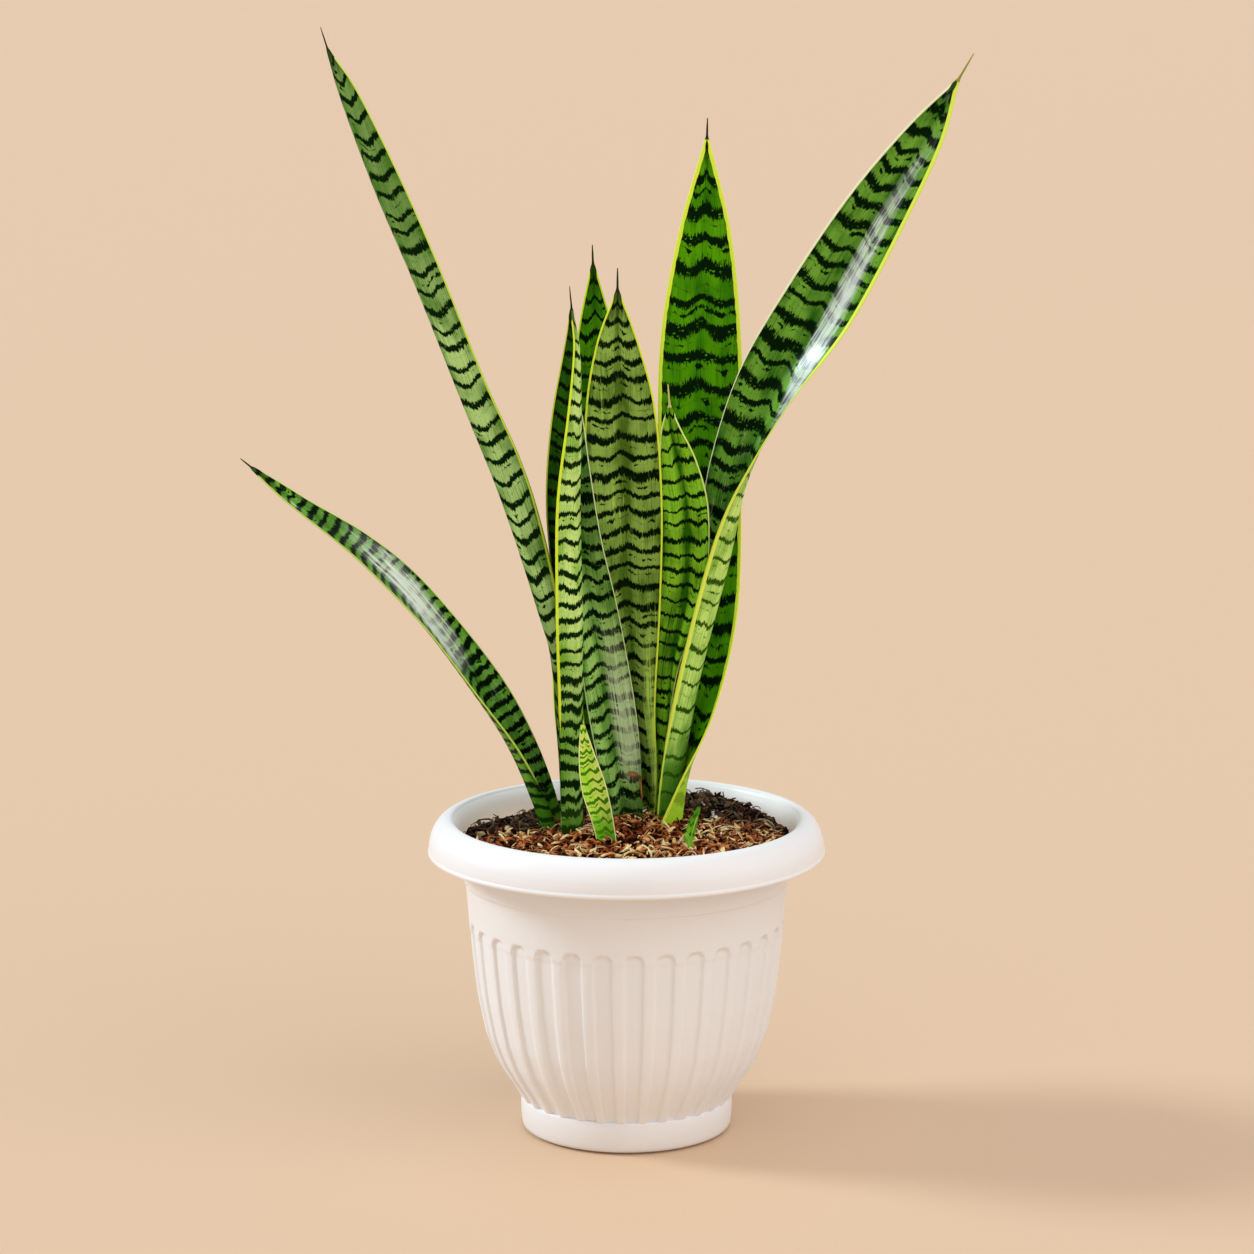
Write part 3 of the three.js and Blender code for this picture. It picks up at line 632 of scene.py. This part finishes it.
class LeafPaint(Paint):
    """What a leaf's paint reads: millimetres across, along and in from the margin, and the face."""

    def __init__(self, name, style):
        super().__init__(name, style["roughness"], LEAF_SHINE)
        self.seed = style["seed"]
        self.across, self.along, self.edge = self.split(self.read("blade", "Vector"))
        self.inside = self.read("inside")
        self.share = abs(self.across / self.math("MAXIMUM", abs(self.across) + self.edge, 0.3))

    def grain(self, fine, lengthwise, offset, detail=1, roughness=0.5):
        """Noise with so many waves in a millimetre across and along."""
        place = self.vector(self.across * fine, self.along * lengthwise, self.seed + offset)
        return self.noise(place, 1, detail, roughness)


def leaf_bands(leaf, style):
    """Dark bands: each rises at the keel, sags on each half and rises again to the margin."""
    period, thickness, rise = style["bands"]
    swing = leaf.math("COSINE", leaf.share * math.tau) * 0.5 + 0.5
    gull = swing * (leaf.share * -0.4 + 1)
    path = leaf.grain(0.11, 0.03, 0) * 5 + (gull * -rise + leaf.along)
    path = leaf.grain(0.42, 0.07, 17) * 2.4 + path
    drift = leaf.noise(leaf.vector(path * 0.05, leaf.seed), 1, 1)
    torn = style["torn"]
    frayed = leaf.grain(1.15, 0.12, 7) * (2.3 * torn) + path
    ragged = leaf.grain(2.3, 0.3, 9) * (2.1 * torn) + 1.05 * (1 - torn)
    thicker_low = leaf.step(leaf.along, 170, 60) * (style["low_bands"] - 1) + 1
    swell = (leaf.grain(0.07, 0.05, 13) * 1.5 + 0.25) * thicker_low
    thin = style["outer_bands"]
    face = leaf.inside * (1 - thin) + thin

    def band(shift, wide, strength):
        phase = leaf.math("FRACT", drift * 1.1 + frayed / period + (shift + 40))
        reach = strength * ragged * (wide / period) * face
        return leaf.step(reach - abs(phase - 0.5) * 2, -0.05, 0.07)

    main = band(0, thickness, swell)
    broken = leaf.step(leaf.grain(0.2, 0.07, 29, 2), 0.62 - 0.2 * style["doubles"], 0.75)
    second = band(0.42, thickness * 0.7, broken)
    spot = leaf.vector(leaf.across * 0.5, leaf.along * 0.62, leaf.seed)
    near, pick = leaf.parts("ShaderNodeTexVoronoi", {"Vector": spot, "Scale": 1})[:2]
    first_pick, second_pick = leaf.parts("ShaderNodeSeparateColor", {0: pick})[:2]
    fleck = leaf.step(near, 0.3, 0.12) * leaf.step(first_pick, 0.84, 0.86)
    hole = leaf.step(near, 0.42, 0.2) * leaf.step(second_pick, 0.5, 0.54)
    hole = hole * leaf.step(leaf.grain(0.1, 0.05, 31), 0.42, 0.6) * style["holes"]
    marks = leaf.math("MAXIMUM", leaf.math("MAXIMUM", main, second), fleck * 0.7)
    return marks * (1 - hole)


def leaf_ground(leaf, style, streak):
    """How deep the ground's green is: painted shade along the keel's crease and at the margins, and the
    leaf's own streaks and clouds.
    """
    # Painted shade in the crease along the keel.
    keel = leaf.step(streak * 0.2 + leaf.share, 0.42, 0.08) * style["keel"]
    # Painted shade towards the margins.
    edge_shade = leaf.step(leaf.share, 0.72, 1) * 0.4
    lines = leaf.step(streak, 0.46, 0.74) * 0.65
    cloud = leaf.step(leaf.grain(0.1, 0.04, 5, 2), 0.4, 0.72) * 0.7
    return leaf.math("MINIMUM", keel + edge_shade + (lines + cloud), 1)


def painted_highlight_mask(leaf, painted_highlight):
    """Where a leaf's painted highlight lies (on the broad leaf, a painted lit strip): it narrows upwards
    and is torn into fine streaks.
    """
    low, low_across, high, high_across, low_width, high_width = painted_highlight[:6]
    way = (leaf.along - low) * (1 / (high - low))
    left = 1 - leaf.math("MINIMUM", leaf.math("MAXIMUM", way, 0), 1)
    middle = leaf.math("POWER", left, 3) * (low_across - high_across) + high_across
    away = abs(leaf.across - middle) / (left * (low_width - high_width) + high_width)
    ends = leaf.step(way, -0.02, 0.16) * leaf.step(way, 1, 0.4)
    body = (1.15 - away * away) * ends
    streaks = leaf.grain(1.3, 0.02, 37, 4, 0.7) * 4.4 + -2.2
    patches = leaf.grain(0.25, 0.07, 39, 2) * 1.8 + -0.9
    density = body + (streaks + patches)
    return leaf.step(density, 0.35, 1.3) * 0.74 + leaf.step(body, 0, 0.5) * 0.26


def leaf_margin(leaf, style, tip_distance):
    """Where a leaf's pale margin lies, and its colour."""
    colour, inner_width, outer_width, faded = style["margin"]
    width = leaf.inside * (inner_width - outer_width) + outer_width
    uneven = leaf.noise(leaf.vector(leaf.along * 0.15, leaf.seed), 1)
    width = width * (uneven * 0.9 + 0.6)
    width = width - leaf.step(leaf.along, faded + 30, faded - 12) * 0.6
    width = width - leaf.step(tip_distance, 6, 1)
    right_side = leaf.step(leaf.across, -0.5, 0.5)
    if "sides" in style:
        left, right, above = style["sides"]
        extra = (right_side * (right - left) + left) * leaf.step(leaf.along, above, above + 40)
        width = extra * leaf.inside + width
    if "left_margin" in style:
        colour = leaf.mix(right_side, style["left_margin"], colour)
    return leaf.step(width - leaf.edge, -0.12, 0.12), colour


def leaf_skin(name):
    """A leaf's banded skin, read from its own across, along and margin distances."""
    style = {**COMMON_STYLE, **LEAF_STYLES[name]}
    length = keel_line(name)[1][-1]
    leaf = LeafPaint(name + "_skin", style)
    along, inside = leaf.along, leaf.inside
    marks = leaf_bands(leaf, style)
    streak = leaf.grain(1.7, 0.03, 3, 3, 0.6)
    pale, deep, dark = [leaf.mix(inside, outer, inner)
                        for outer, inner in zip(style["outer"], style["inner"])]
    ground = leaf.mix(leaf_ground(leaf, style, streak), pale, deep)

    foot_colour, foot_reach = style["foot"]
    foot = leaf.step(leaf.grain(0.3, 0.08, 19) * 14 + along, foot_reach + 8, foot_reach - 10)
    ground = leaf.mix(foot * 0.85, ground, foot_colour)
    for part, way, share in (("low", -60, 0.6), ("top", 60, 0.65)):
        if part in style:
            tint, start = style[part]
            ground = leaf.mix(leaf.step(along, start, start + way) * share, ground, tint)
    marks = marks * (foot * -style["plain_foot"] + 1)
    colour = leaf.mix(marks, ground, dark)
    # Painted highlight: a pale streaky strip painted into the colour where the leaf shines, with a real
    # coat there too; on the broad leaf it is a painted lit strip with no coat.
    if name in LEAF_PAINTED_HIGHLIGHTS:
        strength, painted_highlight_colour, gloss = LEAF_PAINTED_HIGHLIGHTS[name][6:]
        painted_highlight = painted_highlight_mask(leaf, LEAF_PAINTED_HIGHLIGHTS[name]) * inside
        cover = painted_highlight * strength
        cover = cover * (1 - marks * 0.75 * (1 - cover))
        colour = leaf.mix(cover, colour, painted_highlight_colour)
        leaf.set("Coat Weight", painted_highlight * gloss)
        leaf.set("Coat Roughness", 0.22)
    tip_distance = length - along
    tip = leaf.step(leaf.grain(0.9, 0.12, 23) * 10 + tip_distance, 24, 8)
    colour = leaf.mix(tip * style["tip"], colour, dark)
    margin, margin_colour = leaf_margin(leaf, style, tip_distance)
    colour = leaf.mix(margin, colour, margin_colour)
    spine = leaf.step(along, length - 0.5, length + 1)
    colour = leaf.mix(spine, colour, style["spine"])
    if name == "leaf_glossy_front":
        colour = add_scars(leaf, colour)
    leaf.set("Base Color", colour)

    rough = inside * (style["roughness"] - 0.46) + 0.4
    leaf.set("Roughness", streak * 0.14 + rough)
    leaf.bump(marks * -0.2 + streak, 0.35, 0.15)
    return leaf.material


# Dry brown places on the glossy leaf, in millimetres: along, across, their half length and half
# width. The first is the round scar, and the others are on its margins.
SCARS = [(41.9, 8.4, 1.7, 3.3), (33, 12.6, 8, 1.3), (41, -13, 4.5, 1.4)]


def add_scars(leaf, colour):
    """Dry brown spots low on the leaf, each with a rusty rim."""
    for up, aside, length, width in SCARS:
        x = (leaf.across - aside) / width
        y = (leaf.along - up) / length
        away = leaf.grain(1.2, 1, up) * 0.5 + leaf.math("SQRT", x * x + y * y)
        colour = leaf.mix(leaf.step(away, 1.45, 1.05) * 0.8, colour, (166, 92, 44))
        colour = leaf.mix(leaf.step(away, 0.95, 0.6) * 0.7, colour, (206, 156, 104))
    return colour


# ---- potting mix

def mix_height(x, y):
    """The surface of the mix, as in the solid."""
    def heap(cx, cy, size, rise):
        return rise * math.exp(-(math.hypot(x - cx, y - cy) / size) ** 2 / 2)

    heaps = heap(-6, 20, 26, 4.2) + heap(42, 58, 17, 4.5) + heap(-10, -32, 18, 1)
    hollow = heap(-58, 46, 24, -5) - 2 * smoothstep(72, 84, math.hypot(x, y))
    wide = 0.7 * math.sin(x * 0.21 + 1) * math.sin(y * 0.24 + 2)
    return MIX_LEVEL + heaps + hollow + wide + 0.5 * math.sin(x * 0.53 - y * 0.41)


def crumbly_height(x, y):
    lumps = noise.fractal(Vector((x * 0.16, y * 0.16, 3)), 1, 2, 4)
    return mix_height(x, y) + 3.2 * lumps - 1.2


def mix_earth():
    paint = Paint("mix_earth", 0.95, 0.05)
    grain = paint.noise(paint.place(), 700, 5, 0.65)
    colour = paint.mix(paint.step(grain, 0.35, 0.7), (12, 4, 1), (56, 26, 11))
    paint.set("Base Color", darker_at_back(paint, colour))
    paint.bump(grain, 1, 1.2)
    return paint.material


def darker_at_back(paint, colour):
    """The mix is darker, almost black, along the back of the pot and beside the left leaves."""
    place = paint.place()
    x, y, _ = paint.split(place)
    slope = paint.step(x, 0, -50 * MM) * (14 * MM) + (abs(x) * 0.38 + y)
    patchy = paint.noise(place, 40) * (40 * MM) + slope
    return paint.mix(paint.step(patchy, 34 * MM, 62 * MM) * 0.88, colour, (14, 7, 3))


def make_mix(earth):
    """The body of the mix: a crumbly top over a wall that follows the inside of the pot."""
    segments = 200
    turns = [math.tau * i / segments for i in range(segments)]

    def ring(radius, height=None):
        points = []
        for turn in turns:
            x = radius * math.sin(turn)
            y = -radius * math.cos(turn)
            points.append((x, y, crumbly_height(x, y) if height is None else height))
        return points

    wall = [(50, FLOOR_TOP + CLEARANCE), (51, FOOT_HEIGHT)]
    wall += [(look_up(BODY_PROFILE, z) - WALL, z) for z in (27, 40, 60, 80, 105)] + [(80.3, 136)]
    rings = [ring(radius - CLEARANCE, height) for radius, height in wall]
    rings += [ring(83.6 - 1.25 * i) for i in range(66)]
    body = skin_rings("mix_body", rings)
    body.data.materials.append(earth)
    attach(body, "root")
    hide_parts("potting_mix")


def hidden_collection(name, pieces):
    """Shapes that are copied over the mix, kept out of the scene."""
    collection = bpy.data.collections.new(name)
    for piece in pieces:
        bpy.context.scene.collection.objects.unlink(piece)
        collection.objects.link(piece)
    return collection


def rework(piece, change):
    """A piece with its mesh changed."""
    work = bmesh.new()
    work.from_mesh(piece.data)
    change(work)
    work.to_mesh(piece.data)
    work.free()
    return piece


def wrap_hull(work):
    bmesh.ops.convex_hull(work, input=work.verts)
    loose = [v for v in work.verts if not v.link_faces]
    bmesh.ops.delete(work, geom=loose, context="VERTS")


def face_outwards(work):
    bmesh.ops.recalc_face_normals(work, faces=work.faces)


def chip_shape(name, seed, size):
    """A splintered chip: the hull of a few points in a flat box, about size across."""
    draw = random.Random(seed)
    points = [[draw.uniform(-1, 1) * half for half in size] for _ in range(13)]
    return rework(new_piece(name, points, []), wrap_hull)


def shred_shape(name, seed, length, width, thickness):
    """A torn shred of bark: a bent and twisted strip of uneven width."""
    draw = random.Random(seed)
    bend = draw.uniform(-0.5, 0.5) * length
    arch = draw.uniform(0.2, 0.9) * length
    twist = draw.uniform(-1.6, 1.6)
    rings = []
    for i in range(6):
        share = i / 5 - 0.5
        sag = 0.25 - share * share
        middle = Vector((share * length, bend * sag, arch * sag))
        taper = 0.4 if i in (0, 5) else 1
        half = width / 2 * draw.uniform(0.6, 1.25) * taper
        deep = thickness / 2 * draw.uniform(0.7, 1.3)
        side = Vector((0, math.cos(twist * share), math.sin(twist * share)))
        up = Vector((0, -side.z, side.y))
        rings.append([middle - side * half, middle + up * deep, middle + side * half, middle - up * deep])
    return rework(skin_rings(name, rings), face_outwards)


def fibre_shape(name, seed, radius, turn, thickness):
    """A curled strand of coir: a thin three-sided tube along an open arc."""
    draw = random.Random(seed)
    steps = 9
    rings = []
    for i in range(steps + 1):
        share = i / steps
        angle = turn * share
        bend = radius * (1 + 0.5 * share)
        middle = Vector((bend * math.cos(angle), bend * math.sin(angle),
                         draw.uniform(-0.2, 0.2) + 1.6 * math.sin(math.pi * share)))
        outward = Vector((math.cos(angle), math.sin(angle), 0))
        size = thickness * (0.4 + 0.6 * math.sin(math.pi * min(max(share, 0.12), 0.88)))
        rings.append([middle + outward * (size * math.cos(k)) + Vector((0, 0, size * math.sin(k)))
                      for k in (0, -math.tau / 3, -2 * math.tau / 3)])
    return rework(skin_rings(name, rings), face_outwards)


def scatter_tree():
    """Nodes that strew copies of a collection's shapes over a surface."""
    tree = Shaping("strewn_bits", {
        "Shapes": "Collection", "Per square metre": "Float", "Seed": "Int", "Smallest": "Float",
        "Largest": "Float", "Tilt": "Float", "Lift": "Float", "Finish": "Material"})
    given = tree.given
    seed = given["Seed"]
    spots = tree.get("GeometryNodeDistributePointsOnFaces", {
        "Mesh": given["Geometry"], "Density": given["Per square metre"], "Seed": seed})
    raised = tree.get("GeometryNodeSetPosition", {
        "Geometry": spots, "Offset": tree.vector(0, 0, given["Lift"])})
    shapes = tree.get("GeometryNodeCollectionInfo", {
        "Collection": given["Shapes"], "Separate Children": True, "Reset Children": True})
    tilt = given["Tilt"]
    down = tilt * -1
    lean = tree.get("FunctionNodeRandomValue", {
        0: tree.vector(down, down), 1: tree.vector(tilt, tilt, math.tau), "Seed": seed},
        data_type="FLOAT_VECTOR")

    def random_number(low, high):
        return tree.get("FunctionNodeRandomValue", {2: low, 3: high, "Seed": seed}, 1, data_type="FLOAT")

    copies = tree.get("GeometryNodeInstanceOnPoints", {
        "Points": raised, "Instance": shapes, "Pick Instance": True, "Rotation": lean,
        "Scale": random_number(given["Smallest"], given["Largest"])})
    toned = tree.get("GeometryNodeStoreNamedAttribute", {
        "Geometry": copies, "Name": "shade", "Value": random_number(0, 1)},
        data_type="FLOAT", domain="INSTANCE")
    return tree.finish(toned, given["Finish"])


def mix_surface(name, patches):
    """Open patches of the mix's surface that bits are strewn on. A patch is x, y and radius."""
    step = 4
    points = []
    index = {}
    for i in range(-21, 22):
        for j in range(-21, 22):
            x, y = i * step, j * step
            inside = any(math.hypot(x - a, y - b) <= r for a, b, r in patches)
            if inside and math.hypot(x, y) < STREWN_REACH:
                index[i, j] = len(points)
                points.append((x, y, crumbly_height(x, y)))
    faces = [(index[i, j], index[i + 1, j], index[i + 1, j + 1], index[i, j + 1])
             for i, j in index
             if (i + 1, j) in index and (i, j + 1) in index and (i + 1, j + 1) in index]
    return new_piece(name, points, faces)


def strew(name, tree, patches, values):
    bits = mix_surface(name, patches)
    shape_with(bits, tree, values)
    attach(bits, "root")


def bark_finish(name, shades, roughness, darken_back):
    """Bark or fibre: a colour for each bit from its shade, with a dark grain in it."""
    paint = Paint(name, roughness, 0.08)
    place = paint.place()
    clumps = paint.noise(place, 85) * 1.5 + -0.7
    ramp = paint.node("ShaderNodeValToRGB", {0: paint.read("shade") + clumps})
    elements = ramp.color_ramp.elements
    while len(elements) < len(shades):
        elements.new(0.5)
    for element, (position, *shade) in zip(elements, shades):
        element.position = position
        element.color = tone(*shade)
    grain = paint.noise(place, 700, 4, 0.7)
    ramped = Signal(paint, ramp.outputs[0])
    colour = paint.mix(paint.step(grain, 0.42, 0.75) * 0.5, ramped, (40, 18, 8))
    if darken_back:
        colour = darker_at_back(paint, colour)
    paint.set("Base Color", colour)
    paint.bump(grain, 0.6, 0.4)
    return paint.material


# Each finish: its shades, each a place from 0 to 1 and a screen colour, then how rough it is and
# whether it darkens along the back and beside the left leaves.
FINISHES = {
    "bark": ([(0, 16, 3, 0), (0.4, 94, 34, 12), (0.72, 178, 92, 44), (0.92, 234, 162, 96),
              (1, 255, 228, 164)], 0.6, True),
    "coir": ([(0, 150, 92, 52), (0.6, 214, 160, 108), (1, 248, 214, 166)], 0.6, True),
    "dark_bark": ([(0, 8, 3, 1), (0.78, 32, 16, 8), (1, 96, 70, 50)], 0.5, False),
    "pebble": ([(0, 120, 112, 104), (1, 238, 234, 228)], 0.5, False),
    "perlite": ([(0, 222, 216, 208), (1, 246, 242, 236)], 0.8, False),
}

# What is strewn on the mix: its shapes, where (x, y and radius of patches), how many on a square
# metre, seed, smallest and largest size, tilt in radians, lift in millimetres, and its finish.
WHOLE_TOP = [(0, 0, STREWN_REACH)]
BACK_HEAPS = [(44, 54, 27), (-54, 46, 24), (-28, 66, 12), (68, 22, 14)]
STREWN = {
    "mix_chips": ("chip", WHOLE_TOP, 30000, 5, 0.5, 1.2, 0.9, 0.9, "bark"),
    "mix_shreds": ("shred", WHOLE_TOP, 84000, 9, 0.5, 1.3, 0.8, 0.9, "bark"),
    "mix_crumbs": ("crumb", WHOLE_TOP, 120000, 6, 0.5, 1.3, 1.2, 0.4, "bark"),
    "mix_fibres": ("fibre", WHOLE_TOP, 5000, 7, 0.6, 1.4, 0.35, 1.3, "coir"),
    "mix_chunks": ("chunk", BACK_HEAPS, 36000, 12, 0.45, 1.1, 1.2, 1, "dark_bark"),
    "mix_perlite": ("grain", WHOLE_TOP, 1600, 8, 0.5, 1.2, 1.5, 1.8, "perlite"),
    "mix_pebbles": ("pebble", [(40, 30, 17)], 16000, 10, 0.5, 1.1, 0.6, 1.4, "pebble"),
}
CHIP_SIZES = {
    "chip": [(3.4, 2.2, 1), (2.8, 2, 1.2), (4.2, 1.6, 0.9), (2.4, 2.4, 1.4)],
    "crumb": [(1.3, 0.9, 0.6), (1, 1, 0.8), (1.8, 0.6, 0.5)],
    "chunk": [(3.6, 2.4, 2.2), (4.6, 1.9, 1.7), (2.8, 2.6, 2.4), (5.4, 1.5, 1.3), (3, 1.2, 2.8)],
    "grain": [(0.9, 0.8, 0.7), (0.8, 0.9, 0.8), (1, 0.7, 0.7)],
    "pebble": [(2.6, 1.8, 1.1), (2, 1.7, 1.2), (3.2, 1.3, 0.9)],
}
SHRED_SIZES = [(6.4, 1.7, 0.6), (5, 1.4, 0.6), (8, 1.2, 0.5), (4, 2, 0.7), (6, 2.3, 0.6),
               (9.4, 1, 0.5)]
FIBRE_SIZES = [(1.5, 4.4, 0.34), (2.2, 3.4, 0.44), (3.6, 1.6, 0.36), (1.2, 5.2, 0.3),
               (5, 1.1, 0.34), (2.6, 4.6, 0.5)]


def strewn_shapes():
    """A hidden collection of shapes for each kind of bit."""
    kinds = {kind: [chip_shape("%s_%d" % (kind, i), 300 + 7 * i, size) for i, size in enumerate(sizes)]
             for kind, sizes in CHIP_SIZES.items()}
    kinds["shred"] = [shred_shape("shred_%d" % i, 400 + i, *size) for i, size in enumerate(SHRED_SIZES)]
    kinds["fibre"] = [fibre_shape("fibre_%d" % i, 500 + i, *size) for i, size in enumerate(FIBRE_SIZES)]
    return {kind: hidden_collection(kind + "_shapes", pieces) for kind, pieces in kinds.items()}


def dress_mix():
    """Bark, coir, crumbs, pebbles and perlite on the mix."""
    tree = scatter_tree()
    shapes = strewn_shapes()
    finishes = {name: bark_finish(name, *finish) for name, finish in FINISHES.items()}
    for name, (kind, patches, count, seed, smallest, largest, tilt, lift, finish) in STREWN.items():
        strew(name, tree, patches, {
            "Shapes": shapes[kind], "Per square metre": float(count), "Seed": seed,
            "Smallest": smallest, "Largest": largest, "Tilt": tilt, "Lift": lift * MM,
            "Finish": finishes[finish]})


def rhizome_skin():
    paint = Paint("rhizome_skin", 0.8)
    grain = paint.noise(paint.place(), 260, 4, 0.6)
    paint.set("Base Color", paint.mix(grain, (196, 150, 96), (150, 104, 60)))
    paint.bump(grain, 0.5, 0.6)
    return paint.material


# ---- room

# Each light: degrees to the left of the front it comes from, degrees above the floor, strength,
# colour, and how many degrees wide it is.
LIGHTS = {
    "window": (99, 30, 1.8, (0.81, 0.94, 1.02), 16),
    "room_side": (-62, 34, 0.5, (1, 0.985, 0.98), 60),
    "ceiling": (-28, 60, 0.6, (1, 1, 1), 70),
}


FLOOR_REACH = 40000
# The focal length and the picture's width are in pixels of the photograph, the angle in radians.
FOCAL_LENGTH = 4015
PICTURE_WIDTH = 1254
LOOKING_DOWN = 0.185


def place_camera():
    """The viewpoint of the photograph: 2 m in front, 636 mm up, looking down 10.6 degrees."""
    lens = bpy.data.cameras.new("camera")
    lens.sensor_width = 36
    lens.lens = lens.sensor_width * FOCAL_LENGTH / PICTURE_WIDTH
    lens.clip_end = 100
    camera = bpy.data.objects.new("camera", lens)
    camera.location = (0.28 * MM, -2, 0.6362)
    camera.rotation_euler = (math.pi / 2 - LOOKING_DOWN, 0, 0)
    bpy.context.scene.collection.objects.link(camera)
    bpy.context.scene.camera = camera


def lay_floor():
    corners = [(x * FLOOR_REACH, y * FLOOR_REACH, 0) for x, y in ((-1, -1), (1, -1), (1, 1), (-1, 1))]
    floor = new_piece("floor", corners, [(0, 1, 2, 3)])
    paint = Paint("floor_paint", 0.75)
    paint.set("Base Color", tone(220, 188, 156))
    floor.data.materials.append(paint.material)


def light_room():
    """Even light from all round, a window at the left, and soft light from above and the right."""
    world = bpy.data.worlds.new("room")
    world.use_nodes = True
    background = world.node_tree.nodes["Background"]
    background.inputs["Color"].default_value = (0.985, 0.985, 1, 1)
    background.inputs["Strength"].default_value = 0.64
    bpy.context.scene.world = world
    bpy.context.scene.view_settings.view_transform = "Standard"
    for name, (left, rise, strength, colour, width) in LIGHTS.items():
        lamp = bpy.data.lights.new(name, "SUN")
        lamp.energy = strength
        lamp.color = colour
        lamp.angle = math.radians(width)
        light = bpy.data.objects.new(name, lamp)
        level = math.cos(math.radians(rise))
        turn = math.radians(left)
        source = Vector((-math.sin(turn) * level, -math.cos(turn) * level, math.sin(math.radians(rise))))
        light.rotation_euler = source.to_track_quat("Z", "Y").to_euler()
        bpy.context.scene.collection.objects.link(light)


# ---- the scene

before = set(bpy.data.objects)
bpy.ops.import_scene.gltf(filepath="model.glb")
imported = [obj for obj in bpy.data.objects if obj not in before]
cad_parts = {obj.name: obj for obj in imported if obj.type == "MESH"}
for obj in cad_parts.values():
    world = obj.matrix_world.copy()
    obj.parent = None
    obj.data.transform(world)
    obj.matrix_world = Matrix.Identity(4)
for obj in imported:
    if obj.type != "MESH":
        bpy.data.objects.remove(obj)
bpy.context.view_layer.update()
place_camera()
lay_floor()
light_room()
make_pot(pot_plastic("pot_plastic", 0.1, 3), pot_plastic("pot_inside", 1, 16))
for leaf_name in LEAVES:
    make_leaf(leaf_name, leaf_skin(leaf_name))
make_mix(mix_earth())
dress_mix()
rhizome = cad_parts["rhizome"]
rhizome.data.materials.clear()
rhizome.data.materials.append(rhizome_skin())
